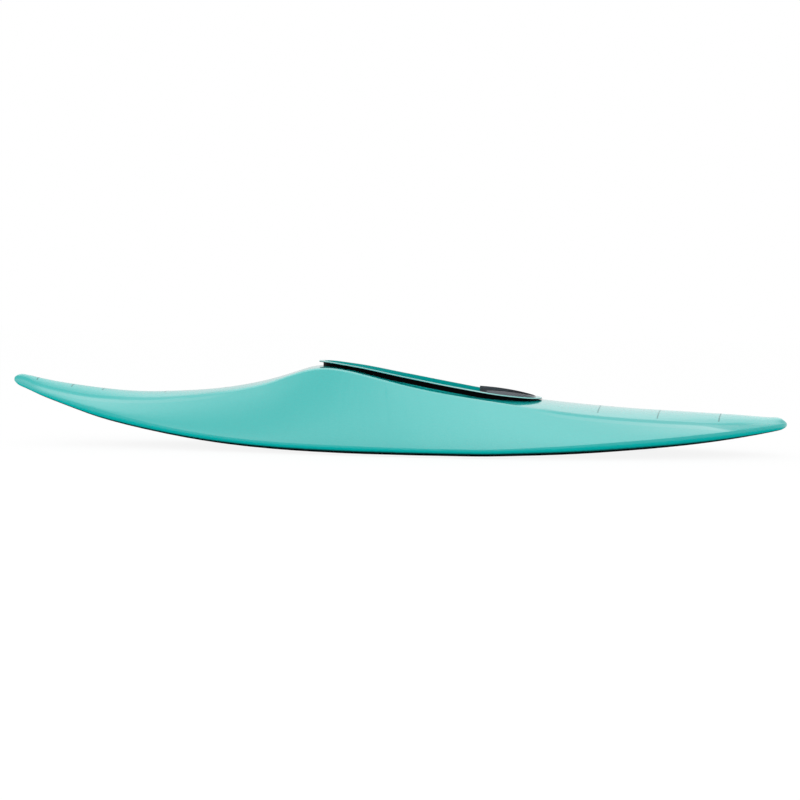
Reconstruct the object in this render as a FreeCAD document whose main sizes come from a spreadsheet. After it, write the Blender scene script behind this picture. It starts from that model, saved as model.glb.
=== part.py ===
import FreeCAD, Part
import math
import os
import Sketcher
from FreeCAD import Vector

# A laminate whitewater kayak, in millimetres.
# X runs from bow to stern, Y to starboard, Z up. The origin is under the middle of the boat, on the ground.
# Lines of the boat are read along its length by a station: 0 is the bow tip and 1 is the stern tip.

doc = FreeCAD.newDocument("kayak")
sheet = doc.addObject("Spreadsheet::Sheet", "Sizes")

DRIVING_SIZES = (
    # Boat
    ("hull_length", 3000),
    ("hull_beam", 580),
    ("hull_depth", 340),
    ("shell_wall", 3),
    ("bond_gap", 0.3),
    ("crease_round", 7),
    ("tape_width", 36),
    ("tape_thickness", 1.2),
    # Cockpit rim
    ("rim_width", 410),
    ("rim_front_radius", 130),
    ("rim_rear_radius", 165),
    ("rim_overhang", 19),
    ("rim_wall", 3),
    ("lip_thickness", 3),
    ("riser_depth", 46),
    ("band_wall", 2.5),
    ("band_height", 20),
    ("band_flange", 1.5),
    # Seat
    ("seat_wall", 4),
    ("seat_rise", 7),
    ("seat_arch", 12),
    ("seat_floor_height", 24),
    ("seat_pan_width", 330),
    ("seat_pan_radius", 140),
    ("pan_lip_height", 30),
    ("base_block_length", 230),
    ("base_block_width", 220),
    ("seat_pad_length", 250),
    ("seat_pad_width", 240),
    ("seat_pad_thickness", 16),
    ("hip_pad_length", 100),
    ("hip_pad_height", 90),
    ("hip_pad_thickness", 16),
    ("hip_pad_setback", 6),
    # Back band
    ("band_pivot_drop", 44),
    ("back_band_height", 60),
    ("back_band_thickness", 18),
    ("back_band_reach", 85),
    ("back_band_spread", 256),
    ("back_band_ears", 12),
    ("back_band_round", 6),
    ("pivot_bolt_diameter", 8),
    ("pivot_collar_diameter", 18),
    ("pivot_head_height", 4),
    # Knee pads
    ("knee_pad_length", 260),
    ("knee_pad_width", 80),
    ("knee_pad_thickness", 12),
    # Pillars and bags
    ("pillar_thickness", 60),
    ("pillar_length", 560),
    ("bag_length", 540),
    ("bag_round", 24),
    ("bag_film", 1),
    ("bag_clearance", 1.5),
    # Footrest rails
    ("rail_length", 300),
    ("rail_height", 26),
    ("rail_depth", 12),
    ("rail_wall", 2),
    ("rail_slot", 10),
    ("rail_spacing", 320),
    ("rail_level", 92),
    ("rail_end_margin", 30),
    ("lug_length", 40),
    ("lug_height", 30),
    ("bolt_diameter", 5),
    ("bolt_head_diameter", 10),
    ("bolt_head_height", 3),
    ("bolt_length", 12),
    # Footrest
    ("slide_clearance", 0.3),
    ("slider_length", 60),
    ("carriage_depth", 10),
    ("carriage_height", 30),
    ("plate_thickness", 5),
    ("plate_height", 136),
    ("plate_rise", 8),
    ("plate_top_width", 210),
    ("plate_foot_width", 250),
    ("plate_corner", 16),
    ("window_width", 96),
    ("window_height", 40),
    ("window_round", 12),
    ("heel_ledge_depth", 24),
    ("foot_pad_thickness", 8),
    ("foot_pad_width", 84),
    ("foot_pad_height", 110),
    ("foot_pad_spacing", 148),
    ("foot_pad_round", 12),
    ("knob_diameter", 32),
    ("knob_height", 14),
    ("knob_bevel", 2),
    ("knob_grip_diameter", 8),
    ("knob_grips", 6),
    ("knob_post_diameter", 6),
    ("cut_overrun", 12),
    ("sliver_width", 1),
    ("fit_tolerance", 0.001),
)

for row, (alias, value) in enumerate(DRIVING_SIZES, start=1):
    sheet.set(f"A{row}", alias)
    sheet.set(f"B{row}", str(value))
    sheet.setAlias(f"B{row}", alias)
doc.recompute()


def size(alias):
    return float(getattr(sheet, alias))


# Lines of the boat: station share of the length, then share of the depth
KEEL_SHARES = (
    (0.0, 0.705), (0.004, 0.672), (0.015, 0.626), (0.03, 0.573), (0.064, 0.466), (0.118, 0.312),
    (0.171, 0.209), (0.223, 0.131), (0.275, 0.072), (0.326, 0.035), (0.376, 0.013), (0.42, 0.003),
    (0.46, -0.002), (0.59, -0.002), (0.635, 0.007), (0.697, 0.026), (0.747, 0.052), (0.81, 0.094),
    (0.876, 0.15), (0.916, 0.195), (0.958, 0.25), (0.985, 0.289), (0.996, 0.317), (1.0, 0.338),
)
SEAM_SHARES = (
    (0.0, 0.722), (0.004, 0.704), (0.016, 0.658), (0.066, 0.528), (0.121, 0.412), (0.174, 0.31),
    (0.226, 0.228), (0.277, 0.172), (0.328, 0.138), (0.378, 0.121), (0.43, 0.112), (0.536, 0.102),
    (0.596, 0.103), (0.633, 0.115), (0.693, 0.147), (0.743, 0.18), (0.806, 0.222), (0.871, 0.27),
    (0.912, 0.303), (0.955, 0.34), (0.983, 0.356), (1.0, 0.358),
)
CREASE_SHARES = (
    (0.0, 0.735), (0.004, 0.748), (0.015, 0.735), (0.03, 0.682), (0.063, 0.605), (0.116, 0.535),
    (0.168, 0.525), (0.22, 0.565), (0.272, 0.632), (0.323, 0.724), (0.373, 0.876), (0.395, 0.92),
    (0.413, 0.925), (0.44, 0.89), (0.474, 0.822), (0.535, 0.706), (0.597, 0.618), (0.634, 0.572),
    (0.677, 0.518), (0.696, 0.492), (0.747, 0.444), (0.811, 0.404), (0.877, 0.374), (0.918, 0.362),
    (0.958, 0.376), (0.985, 0.384), (0.996, 0.378), (1.0, 0.366),
)
CROWN_SHARES = (
    (0.0, 0.745), (0.004, 0.77), (0.012, 0.776), (0.032, 0.741), (0.058, 0.699), (0.11, 0.64),
    (0.162, 0.609), (0.214, 0.622), (0.265, 0.661), (0.317, 0.744), (0.345, 0.812), (0.369, 0.882),
    (0.394, 0.936), (0.42, 0.93), (0.45, 0.894), (0.475, 0.85), (0.535, 0.752), (0.597, 0.655),
    (0.635, 0.62), (0.667, 0.602), (0.686, 0.59), (0.706, 0.573), (0.758, 0.535), (0.823, 0.5),
    (0.888, 0.476), (0.927, 0.459), (0.966, 0.441), (0.989, 0.429), (0.996, 0.408), (1.0, 0.374),
)
LIP_SHARES = (
    (0.34, 1.0), (0.394, 0.998), (0.437, 0.958), (0.504, 0.851), (0.566, 0.752), (0.627, 0.666),
    (0.682, 0.62), (0.76, 0.575),
)
# Breadths: station share of the length, then share of half the beam
EDGE_SHARES = (
    (0.0, 0.02), (0.004, 0.05), (0.015, 0.09), (0.03, 0.15), (0.08, 0.28), (0.15, 0.44), (0.25, 0.64),
    (0.35, 0.81), (0.45, 0.93), (0.55, 1.0), (0.59, 1.0), (0.7, 0.94), (0.8, 0.79), (0.88, 0.6),
    (0.95, 0.36), (0.985, 0.18), (0.996, 0.085), (1.0, 0.025),
)
FOLD_SHARES = (
    (0.0, 0.012), (0.004, 0.035), (0.015, 0.065), (0.05, 0.14), (0.1, 0.2), (0.2, 0.3), (0.3, 0.38),
    (0.385, 0.52), (0.44, 0.63), (0.5, 0.72), (0.6, 0.78), (0.68, 0.73), (0.72, 0.67), (0.8, 0.55),
    (0.9, 0.36), (0.96, 0.22), (0.985, 0.13), (0.996, 0.06), (1.0, 0.015),
)
# Stations where a section is drawn
HULL_STATION_SHARES = (
    0.0, 0.004, 0.014, 0.035, 0.065, 0.11, 0.16, 0.21, 0.26, 0.3, 0.335, 0.365, 0.39, 0.415, 0.445,
    0.48, 0.52, 0.56, 0.6, 0.64, 0.68, 0.72, 0.77, 0.82, 0.87, 0.915, 0.955, 0.982, 0.995, 1.0,
)
CAVITY_STATION_SHARES = HULL_STATION_SHARES[3:-3]
# Shape of a section
CHINE_BREADTH_SHARE = 0.78
CHINE_RISE_SHARE = 0.09
BILGE_RISE_SHARE = 0.2
FLARE_RISE_SHARE = 0.12
PANEL_BULGE_SHARE = 0.07
CROWN_PULL_SHARE = 0.5
BOTTOM_PULL_SHARE = 0.6
END_WEIGHT_SHARE = 0.25
# Cockpit rim, along the boat
RIM_FRONT_STATION_SHARE = 0.437
RIM_REAR_STATION_SHARE = 0.627
# Seat, along the boat
SEAT_FRONT_STATION_SHARE = 0.545
SEAT_SIDE_STATION_SHARE = 0.606
PAN_FRONT_STATION_SHARE = 0.585
PAN_REAR_STATION_SHARE = 0.613
PIVOT_STATION_SHARE = 0.632
# Other pieces, along the boat
KNEE_STATION_SHARE = 0.452
KNEE_SPAN_SHARE = 0.12
BOW_PILLAR_STATION_SHARE = 0.16
STERN_PILLAR_STATION_SHARE = 0.8
FOOTREST_STATION_SHARE = 0.325


# Shape of a cushion: place along it, then fullness of its section
CUSHION_FORM_SHARES = (
    (0.0, 0.82), (0.06, 0.93), (0.2, 0.985), (0.5, 1.0), (0.8, 0.985), (0.94, 0.93), (1.0, 0.82),
)
CUSHION_SEAM_SHARE = 0.5
CUSHION_FLANK_SHARE = 0.25
CUSHION_BULGE_SHARE = 1.03
CUSHION_CROWN_PULL_SHARE = 1.17
CUSHION_CROWN_BREADTH_SHARE = 0.7

HALVINGS = 60


def x_at(station):
    return (station - 0.5) * size("hull_length")


def station_at(x):
    return x / size("hull_length") + 0.5


def line(shares, station):
    # Smooth line through the shares that never overshoots them
    places = [share[0] for share in shares]
    values = [share[1] for share in shares]
    station = min(max(station, places[0]), places[-1])
    steps = [b - a for a, b in zip(places, places[1:])]
    slopes = [(b - a) / step for a, b, step in zip(values, values[1:], steps)]
    tangents = [slopes[0]]
    for before, after in zip(slopes, slopes[1:]):
        same_way = before * after > 0
        tangents.append(2 * before * after / (before + after) if same_way else 0.0)
    tangents.append(slopes[-1])
    span = max(i for i in range(len(steps)) if places[i] <= station)
    u = (station - places[span]) / steps[span]
    start = (1 + 2 * u) * (1 - u) ** 2 * values[span] + u * (1 - u) ** 2 * steps[span] * tangents[span]
    end = u * u * (3 - 2 * u) * values[span + 1] - u * u * (1 - u) * steps[span] * tangents[span + 1]
    return start + end


def height(shares, station):
    return line(shares, station) * size("hull_depth")


def breadth(shares, station):
    return line(shares, station) * size("hull_beam") / 2


def lip_height(x):
    return height(LIP_SHARES, station_at(x))


def curve(*points):
    bezier = Part.BezierCurve()
    bezier.setPoles(list(points))
    return bezier.toShape()


def between(a, b, share):
    return a + (b - a) * share


def mirrored(point):
    return Vector(point.x, -point.y, point.z)


def raised(point, rise):
    return point + Vector(0, 0, rise)


def eased(start, target):
    # Point on the way to the target where a rounded corner starts
    way = target - start
    radius = size("crease_round")
    return start + way * (radius / (way.Length + radius))


def pull_level(middle, end):
    # Level of the two inner guide points that brings the middle of a curve to its level
    return (middle - end * END_WEIGHT_SHARE) / (1 - END_WEIGHT_SHARE)


def section_points(station, inset):
    # Guide points of the starboard half of a section, moved inwards by the inset
    x = x_at(station)
    keel = height(KEEL_SHARES, station) + inset
    seam = height(SEAM_SHARES, station)
    edge = breadth(EDGE_SHARES, station)
    crown = height(CROWN_SHARES, station) - inset
    bottom_rise = seam - height(KEEL_SHARES, station)
    chine = Vector(x, edge * CHINE_BREADTH_SHARE - inset / 2, keel + bottom_rise * CHINE_RISE_SHARE)
    bilge = Vector(x, edge - inset, keel + bottom_rise * BILGE_RISE_SHARE - inset / 2)
    side = Vector(x, edge - inset, seam)
    corner = Vector(x, breadth(FOLD_SHARES, station) - inset, height(CREASE_SHARES, station) - inset)
    rise = corner - side
    flare = raised(side, rise.z * FLARE_RISE_SHARE)
    panel = between(side, corner, 0.5) + Vector(0, rise.z, -rise.y) * PANEL_BULGE_SHARE
    crown_pull = Vector(x, corner.y * CROWN_PULL_SHARE, pull_level(crown, corner.z))
    keel_pull = Vector(x, chine.y * BOTTOM_PULL_SHARE, pull_level(keel, chine.z))
    low = eased(corner, panel)
    high = eased(corner, crown_pull)
    return {
        "side": side,
        "bottom": (
            (side, bilge, chine),
            (chine, keel_pull, mirrored(keel_pull), mirrored(chine)),
            (mirrored(chine), mirrored(bilge), mirrored(side)),
        ),
        "top": (
            (mirrored(side), mirrored(flare), mirrored(panel), mirrored(low)),
            (mirrored(low), mirrored(corner), mirrored(high)),
            (mirrored(high), mirrored(crown_pull), crown_pull, high),
            (high, corner, low),
            (low, panel, flare, side),
        ),
    }


def lid(start, end, rise):
    # Straight edges that close a half section, level with the seam or set off from it by the rise
    if not rise:
        return ((start, end),)
    return (
        (start, raised(start, rise)),
        (raised(start, rise), raised(end, rise)),
        (raised(end, rise), end),
    )


def skin(stations, sections):
    # One smooth surface through the same edge of every section
    rows = []
    for place in range(len(sections[0])):
        spline = Part.BSplineCurve()
        spline.interpolate(Points=[section[place] for section in sections], Parameters=list(stations))
        rows.append(spline)
    degree = len(rows) - 1
    surface = Part.BSplineSurface()
    surface.buildFromPolesMultsKnots(
        [row.getPoles() for row in rows], [degree + 1, degree + 1], rows[0].getMultiplicities(),
        [0.0, 1.0], rows[0].getKnots(), False, False, degree, rows[0].Degree
    )
    return surface.toShape()


def skinned_solid(stations, sections):
    # Closed solid from sections that all have the same edges in the same order
    faces = [skin(stations, [section[i] for section in sections]) for i in range(len(sections[0]))]
    for section in (sections[0], sections[-1]):
        faces.append(Part.Face(Part.Wire([curve(*edge) for edge in section])))
    shell = Part.Shell(faces)
    shell.sewShape()
    solid = Part.Solid(shell)
    solid.fix(size("fit_tolerance"), size("fit_tolerance"), size("fit_tolerance"))
    return solid if solid.Volume > 0 else solid.reversed()


def hull_form(stations, inset, lid_rise):
    sections = []
    for station in stations:
        p = section_points(station, inset)
        sections.append(p["bottom"] + lid(mirrored(p["side"]), p["side"], lid_rise))
    return skinned_solid(stations, sections)


def deck_form(stations, inset, lid_rise):
    sections = []
    for station in stations:
        p = section_points(station, inset)
        sections.append(p["top"] + lid(p["side"], mirrored(p["side"]), lid_rise))
    return skinned_solid(stations, sections)


def loft(wires):
    return Part.makeLoft(wires, True, False)


def whole_form(stations, inset):
    sections = []
    for station in stations:
        p = section_points(station, inset)
        sections.append(p["bottom"] + p["top"])
    return skinned_solid(stations, sections)


def minus(base, *tools):
    return base.cut(list(tools), size("fit_tolerance"))


def shared(base, *tools):
    for tool in tools:
        base = base.common([tool], size("fit_tolerance"))
    return base


def under_ground():
    # Box below the ground, which cuts a flat on the bottom of the hull
    length = size("hull_length") + 2 * size("cut_overrun")
    width = size("hull_beam") + 2 * size("cut_overrun")
    low = Vector(-length / 2, -width / 2, -size("hull_depth"))
    return Part.makeBox(length, width, size("hull_depth"), low)


def box_between(low, high):
    return Part.makeBox(high.x - low.x, high.y - low.y, high.z - low.z, low)


def side_radius(width, front_radius, rear_radius, centre_distance):
    # Radius of the side arcs that join a front and a rear arc and reach the half width
    half = width / 2
    front_root = math.sqrt(half - front_radius)
    rear_root = math.sqrt(half - rear_radius)
    low = half + max(front_radius, rear_radius)
    high = low + centre_distance ** 2 / (half - max(front_radius, rear_radius))
    for _ in range(HALVINGS):
        middle = (low + high) / 2
        reach = front_root * math.sqrt(middle - front_radius) + rear_root * math.sqrt(middle - rear_radius)
        if reach < centre_distance:
            low = middle
        else:
            high = middle
    return (middle + half) / 2


def egg_wire(front_x, rear_x, width, front_radius, rear_radius, offset, level):
    # Egg outline of four tangent arcs in a level plane, moved outwards by the offset
    radius = side_radius(width, front_radius, rear_radius, rear_x - front_x)
    centre_y = width / 2 - radius
    front_gap = math.sqrt((radius - front_radius) ** 2 - centre_y ** 2)
    side = Vector(front_x + front_gap, centre_y, level)
    front = Vector(front_x, 0, level)
    rear = Vector(rear_x, 0, level)

    def beyond(centre, length):
        return centre + (centre - side).normalize() * length

    front_join = beyond(front, front_radius + offset)
    rear_join = beyond(rear, rear_radius + offset)
    top = Vector(side.x, width / 2 + offset, level)
    nose = Vector(front_x - front_radius - offset, 0, level)
    tail = Vector(rear_x + rear_radius + offset, 0, level)
    arcs = (
        Part.Arc(front_join, top, rear_join),
        Part.Arc(rear_join, tail, mirrored(rear_join)),
        Part.Arc(mirrored(rear_join), mirrored(top), mirrored(front_join)),
        Part.Arc(mirrored(front_join), nose, front_join),
    )
    return Part.Wire([arc.toShape() for arc in arcs])


def rim_wire(offset, level):
    return egg_wire(
        x_at(RIM_FRONT_STATION_SHARE), x_at(RIM_REAR_STATION_SHARE), size("rim_width"),
        size("rim_front_radius"), size("rim_rear_radius"), offset, level
    )


def rim_column(offset):
    # Upright column inside the rim outline, from the ground to above the boat
    rise = Vector(0, 0, size("hull_depth") + size("riser_depth"))
    return Part.Face(rim_wire(offset, 0)).extrude(rise)


def lip_slab(top_drop, bottom_drop):
    # Slab between two copies of the lip line, set down by the two drops
    stations = [share[0] for share in LIP_SHARES]
    count = 3 * len(LIP_SHARES)
    first, last = stations[0], stations[-1]
    reach = size("hull_beam") / 2
    points = []
    for i in range(count + 1):
        x = x_at(between(first, last, i / count))
        points.append(Vector(x, -reach, lip_height(x)))
    spline = Part.BSplineCurve()
    spline.interpolate(points)
    upper = spline.toShape().translated(Vector(0, 0, -top_drop))
    lower = spline.toShape().translated(Vector(0, 0, -bottom_drop))
    ends = [
        Part.makeLine(upper.Vertexes[-1].Point, lower.Vertexes[-1].Point),
        Part.makeLine(lower.Vertexes[0].Point, upper.Vertexes[0].Point),
    ]
    outline = Part.Wire(Part.__sortEdges__([upper, ends[0], lower, ends[1]]))
    return Part.Face(outline).extrude(Vector(0, 2 * reach, 0))


def rim_ring(outer_offset, inner_offset, top_drop, bottom_drop):
    ring = minus(rim_column(outer_offset), rim_column(inner_offset))
    return shared(ring, lip_slab(top_drop, bottom_drop))


def keep(label, shape):
    # Stores a shape that is worked out here as one named sub-part
    solids = [solid for solid in shape.Solids if solid.Volume > size("sliver_width") ** 3]
    piece = doc.addObject("Part::Feature", label)
    piece.Label = label
    piece.Shape = solids[0] if len(solids) == 1 else Part.makeCompound(solids)
    sub_parts.append(piece)
    return piece


sub_parts = []
X_AXIS = Vector(1, 0, 0)

# Offsets of the rim's parts from its outer outline
neck_offset = -size("rim_overhang")
opening_offset = neck_offset - size("rim_wall")
bucket_offset = opening_offset - size("bond_gap")

# Outer forms and the space inside
wall = size("shell_wall")
gap = size("bond_gap")
overrun = size("cut_overrun")
fitting_space = whole_form(CAVITY_STATION_SHARES, wall + gap)


def make_hull_shell():
    shell = minus(hull_form(HULL_STATION_SHARES, 0, 0), hull_form(CAVITY_STATION_SHARES, wall, overrun))
    keep("hull_shell", minus(shell, under_ground()))


def make_deck_shell():
    shell = minus(deck_form(HULL_STATION_SHARES, 0, 0), deck_form(CAVITY_STATION_SHARES, wall, -overrun))
    keep("deck_shell", minus(shell, rim_column(neck_offset + gap)))


def first_part(edge, share):
    # First part of a curve, as guide points of its own
    points = edge
    part = [points[0]]
    while len(points) > 1:
        points = [between(here, after, share) for here, after in zip(points, points[1:])]
        part.append(points[0])
    return tuple(part)


def tape_section(station, sign):
    # Thin strip that follows the inside of both shells from the seam, down and up
    outer = section_points(station, wall + gap)
    inner = section_points(station, wall + gap + size("tape_thickness"))
    strips = []
    for way in (lambda p: p["bottom"][0], lambda p: tuple(reversed(p["top"][-1]))):
        edge = way(outer)
        share = min(1, size("tape_width") / 2 / (edge[-1] - edge[0]).Length)
        strips.append((first_part(way(outer), share), first_part(way(inner), share)))
    (low_outer, low_inner), (high_outer, high_inner) = strips
    edges = (
        tuple(reversed(low_outer)), high_outer, (high_outer[-1], high_inner[-1]),
        tuple(reversed(high_inner)), low_inner, (low_inner[-1], low_outer[-1]),
    )
    if sign > 0:
        return edges
    return tuple(tuple(mirrored(point) for point in edge) for edge in edges)


def make_seam_tape():
    # Strips that lie inside the boat over the joint of the two shells
    stations = CAVITY_STATION_SHARES[1:-1]
    for label, sign in (("seam_tape_left", -1), ("seam_tape_right", 1)):
        keep(label, skinned_solid(stations, [tape_section(station, sign) for station in stations]))


def make_cockpit_rim():
    lip = rim_ring(0, opening_offset, 0, size("lip_thickness"))
    riser = rim_ring(neck_offset, opening_offset, 0, size("riser_depth"))
    keep("cockpit_rim", lip.fuse(riser).removeSplitter())


def make_rim_neck_band():
    top = size("lip_thickness") + gap
    flange = rim_ring(0, neck_offset + gap, top, top + size("band_flange"))
    neck = rim_ring(neck_offset + gap + size("band_wall"), neck_offset + gap, top, top + size("band_height"))
    band = flange.fuse(neck).removeSplitter()
    keep("rim_neck_band", minus(band, deck_form(HULL_STATION_SHARES, -gap, 0)))


def bucket_form(inset):
    # Bucket that narrows from the rim's outline down to the seat pan
    floor_level = size("seat_floor_height") + inset
    shoulder_level = lip_height(x_at(RIM_REAR_STATION_SHARE)) - size("riser_depth") - overrun
    top_level = size("hull_depth") + overrun
    pan = egg_wire(
        x_at(PAN_FRONT_STATION_SHARE), x_at(PAN_REAR_STATION_SHARE), size("seat_pan_width"),
        size("seat_pan_radius"), size("seat_pan_radius"), -inset, floor_level
    )
    shoulder = rim_wire(bucket_offset - inset, shoulder_level)
    lower = Part.makeLoft([pan, shoulder], True, True)
    column = Part.Face(shoulder).extrude(Vector(0, 0, top_level - shoulder_level))
    return lower.fuse(column)


def seat_outline():
    # Side view of the seat: open in front, rising along the hips to an arched edge above the lip
    front = x_at(SEAT_FRONT_STATION_SHARE)
    side = x_at(SEAT_SIDE_STATION_SHARE)
    tail = x_at(RIM_REAR_STATION_SHARE) + size("rim_rear_radius")
    floor_level = size("seat_floor_height")
    lip = floor_level + size("pan_lip_height")
    reach = size("hull_beam") / 2
    foot = Vector(front, -reach, lip)
    pull = Vector(side, -reach, lip)
    shoulder = Vector(side, -reach, lip_height(side) - size("riser_depth"))
    side_top = Vector(side, -reach, lip_height(side) + size("seat_rise"))
    tail_top = Vector(tail, -reach, lip_height(tail))
    arch = raised(between(side_top, tail_top, 0.5), size("seat_arch"))
    edges = [
        Part.makeLine(Vector(front, -reach, 0), foot),
        curve(foot, pull, shoulder),
        Part.makeLine(shoulder, side_top),
        curve(side_top, arch, tail_top),
        Part.makeLine(tail_top, Vector(tail, -reach, 0)),
        Part.makeLine(Vector(tail, -reach, 0), Vector(front, -reach, 0)),
    ]
    return Part.Face(Part.Wire(edges)).extrude(Vector(0, 2 * reach, 0))


def make_seat_base_block():
    middle = x_at(PAN_REAR_STATION_SHARE)
    half_length = size("base_block_length") / 2
    half_width = size("base_block_width") / 2
    low = Vector(middle - half_length, -half_width, 0)
    high = Vector(middle + half_length, half_width, size("seat_floor_height") - gap)
    keep("seat_base_block", shared(box_between(low, high), fitting_space))


def cushion_wire(x, half_width, base, thickness, fullness):
    # Section of a cushion: flat below, crowned above, with sides that draw in
    side = half_width * fullness
    rise = thickness * fullness
    left = Vector(x, -side, base)
    right = Vector(x, side, base)
    right_seam = Vector(x, side, base + rise * CUSHION_SEAM_SHARE)
    right_flank = Vector(x, side * CUSHION_BULGE_SHARE, base + rise * CUSHION_FLANK_SHARE)
    right_crown = Vector(x, side * CUSHION_CROWN_BREADTH_SHARE, base + rise * CUSHION_CROWN_PULL_SHARE)
    left_seam = mirrored(right_seam)
    edges = [
        Part.makeLine(left, right),
        curve(right, right_flank, right_seam),
        curve(right_seam, right_crown, mirrored(right_crown), left_seam),
        curve(left_seam, mirrored(right_flank), left),
    ]
    return Part.Wire(edges)


def make_seat_pad():
    base = size("seat_floor_height") + size("seat_wall") + gap
    length = size("seat_pad_length")
    half_width = size("seat_pad_width") / 2
    middle = between(x_at(PAN_FRONT_STATION_SHARE), x_at(PAN_REAR_STATION_SHARE), 0.5)
    start = middle - length / 2
    wires = []
    for place, fullness in CUSHION_FORM_SHARES:
        x = start + length * place
        wires.append(cushion_wire(x, half_width, base, size("seat_pad_thickness"), fullness))
    keep("seat_pad", loft(wires))


def make_hip_pads():
    # Pads bonded to the inside of the bucket's sides, level with the hips
    outer = size("seat_wall") + gap
    lining = minus(bucket_form(outer), bucket_form(outer + size("hip_pad_thickness")))
    front = x_at(SEAT_SIDE_STATION_SHARE) + size("hip_pad_setback")
    low_level = size("seat_floor_height") + size("seat_pad_thickness") + size("hip_pad_thickness")
    rear = front + size("hip_pad_length")
    high_level = low_level + size("hip_pad_height")
    for label, sign in (("hip_pad_left", -1), ("hip_pad_right", 1)):
        reach = sign * size("hull_beam") / 2
        low = Vector(front, min(0, reach), low_level)
        high = Vector(rear, max(0, reach), high_level)
        keep(label, shared(lining, box_between(low, high)))


def make_knee_pads():
    # Pads under the deck beside the front of the cockpit
    near_knees = (abs(station - KNEE_STATION_SHARE) < KNEE_SPAN_SHARE for station in HULL_STATION_SHARES)
    stations = [station for station, near in zip(HULL_STATION_SHARES, near_knees) if near]
    outer = wall + gap
    lining = minus(whole_form(stations, outer), whole_form(stations, outer + size("knee_pad_thickness")))
    middle = x_at(KNEE_STATION_SHARE)
    half_length = size("knee_pad_length") / 2
    column = rim_column(neck_offset + gap)
    for label, sign in (("knee_pad_left", -1), ("knee_pad_right", 1)):
        inner = sign * size("rim_width") / 4
        outer = inner + sign * size("knee_pad_width")
        low = Vector(middle - half_length, min(inner, outer), size("hull_depth") / 2)
        high = Vector(middle + half_length, max(inner, outer), size("hull_depth"))
        keep(label, minus(shared(lining, box_between(low, high)), column))


def make_pillars():
    for label, station in (
        ("bow_pillar", BOW_PILLAR_STATION_SHARE),
        ("stern_pillar", STERN_PILLAR_STATION_SHARE),
    ):
        half = size("pillar_thickness") / 2
        low = Vector(x_at(station) - size("pillar_length") / 2, -half, 0)
        high = Vector(x_at(station) + size("pillar_length") / 2, half, size("hull_depth"))
        keep(label, shared(box_between(low, high), fitting_space))


def bag_form(station, sign, inset):
    # Pillow between the pillar and the shells on one side, set in by the inset
    outer = section_points(station, 0)["side"].y - inset
    inner = size("pillar_thickness") / 2 + gap + inset
    half_length = size("bag_length") / 2 - inset
    floor_level = height(KEEL_SHARES, station) + inset
    top_level = height(CROWN_SHARES, station) - inset
    low = Vector(x_at(station) - half_length, min(sign * inner, sign * outer), floor_level)
    high = Vector(x_at(station) + half_length, max(sign * inner, sign * outer), top_level)
    block = box_between(low, high)
    pillow = block.makeFillet(size("bag_round"), block.Edges)
    clear = wall + size("tape_thickness") + size("bag_clearance")
    bag_space = whole_form(CAVITY_STATION_SHARES, clear + inset)
    return shared(pillow, bag_space)


def make_airbags():
    # Inflated bags beside the pillars, each a thin film round air
    for end, station in (("bow", BOW_PILLAR_STATION_SHARE), ("stern", STERN_PILLAR_STATION_SHARE)):
        for side, sign in (("left", -1), ("right", 1)):
            bag = minus(bag_form(station, sign, 0), bag_form(station, sign, size("bag_film")))
            keep(f"{end}_airbag_{side}", bag)


def pivot_place(sign):
    # Middle of a back band pivot, at the band's outer face
    x = x_at(PIVOT_STATION_SHARE)
    level = lip_height(x) - size("band_pivot_drop")
    return Vector(x, sign * size("back_band_spread") / 2, level)


def bar_across(centre, diameter, start, end, sign):
    # Round bar along Y, from start to end outwards from the centre
    base = Vector(centre.x, centre.y + sign * start, centre.z)
    return Part.makeCylinder(diameter / 2, end - start, base, Vector(0, sign, 0))


def seat_wall_reach(shift):
    # Distance from the pivot to the inside of the seat's wall, at a shift along the boat
    pivot = pivot_place(1)
    x = pivot.x + shift
    probe = Part.makeLine(Vector(x, 0, pivot.z), Vector(x, size("hull_beam"), pivot.z))
    inside = shared(bucket_form(size("seat_wall")), probe)
    return inside.BoundBox.YMax - pivot.y


def make_seat_shell():
    bucket = minus(bucket_form(0), bucket_form(size("seat_wall")))
    shell = shared(bucket, seat_outline())
    for sign in (-1, 1):
        hole = size("pivot_bolt_diameter") + 2 * gap
        shell = minus(shell, bar_across(pivot_place(sign), hole, 0, size("rim_width") / 2, sign))
    keep("seat_shell", shell)


def band_arc():
    # Outer radius of the band and the place of its centre along the boat
    half_spread = size("back_band_spread") / 2
    reach = size("back_band_reach")
    outer = (half_spread ** 2 + reach ** 2) / (2 * reach)
    return outer, pivot_place(1).x + reach - outer


def make_back_band():
    # Padded band that bows round the lower back, with its two ends on the pivots
    pivot = pivot_place(1)
    outer, centre = band_arc()
    inner = outer - size("back_band_thickness")
    level = pivot.z - size("back_band_height") / 2
    base = Vector(centre, 0, level)
    ring = minus(
        Part.makeCylinder(outer, size("back_band_height"), base),
        Part.makeCylinder(inner, size("back_band_height"), base),
    )
    low = Vector(pivot.x - size("back_band_ears"), -outer, level)
    high = Vector(centre + outer, outer, level + size("back_band_height"))
    band = shared(ring, box_between(low, high))
    band = band.makeFillet(size("back_band_round"), band.Edges)
    for sign in (-1, 1):
        hole = size("pivot_bolt_diameter") + 2 * gap
        band = minus(band, bar_across(pivot_place(sign), hole, -outer / 2, outer / 2, sign))
    keep("back_band", band)


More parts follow.
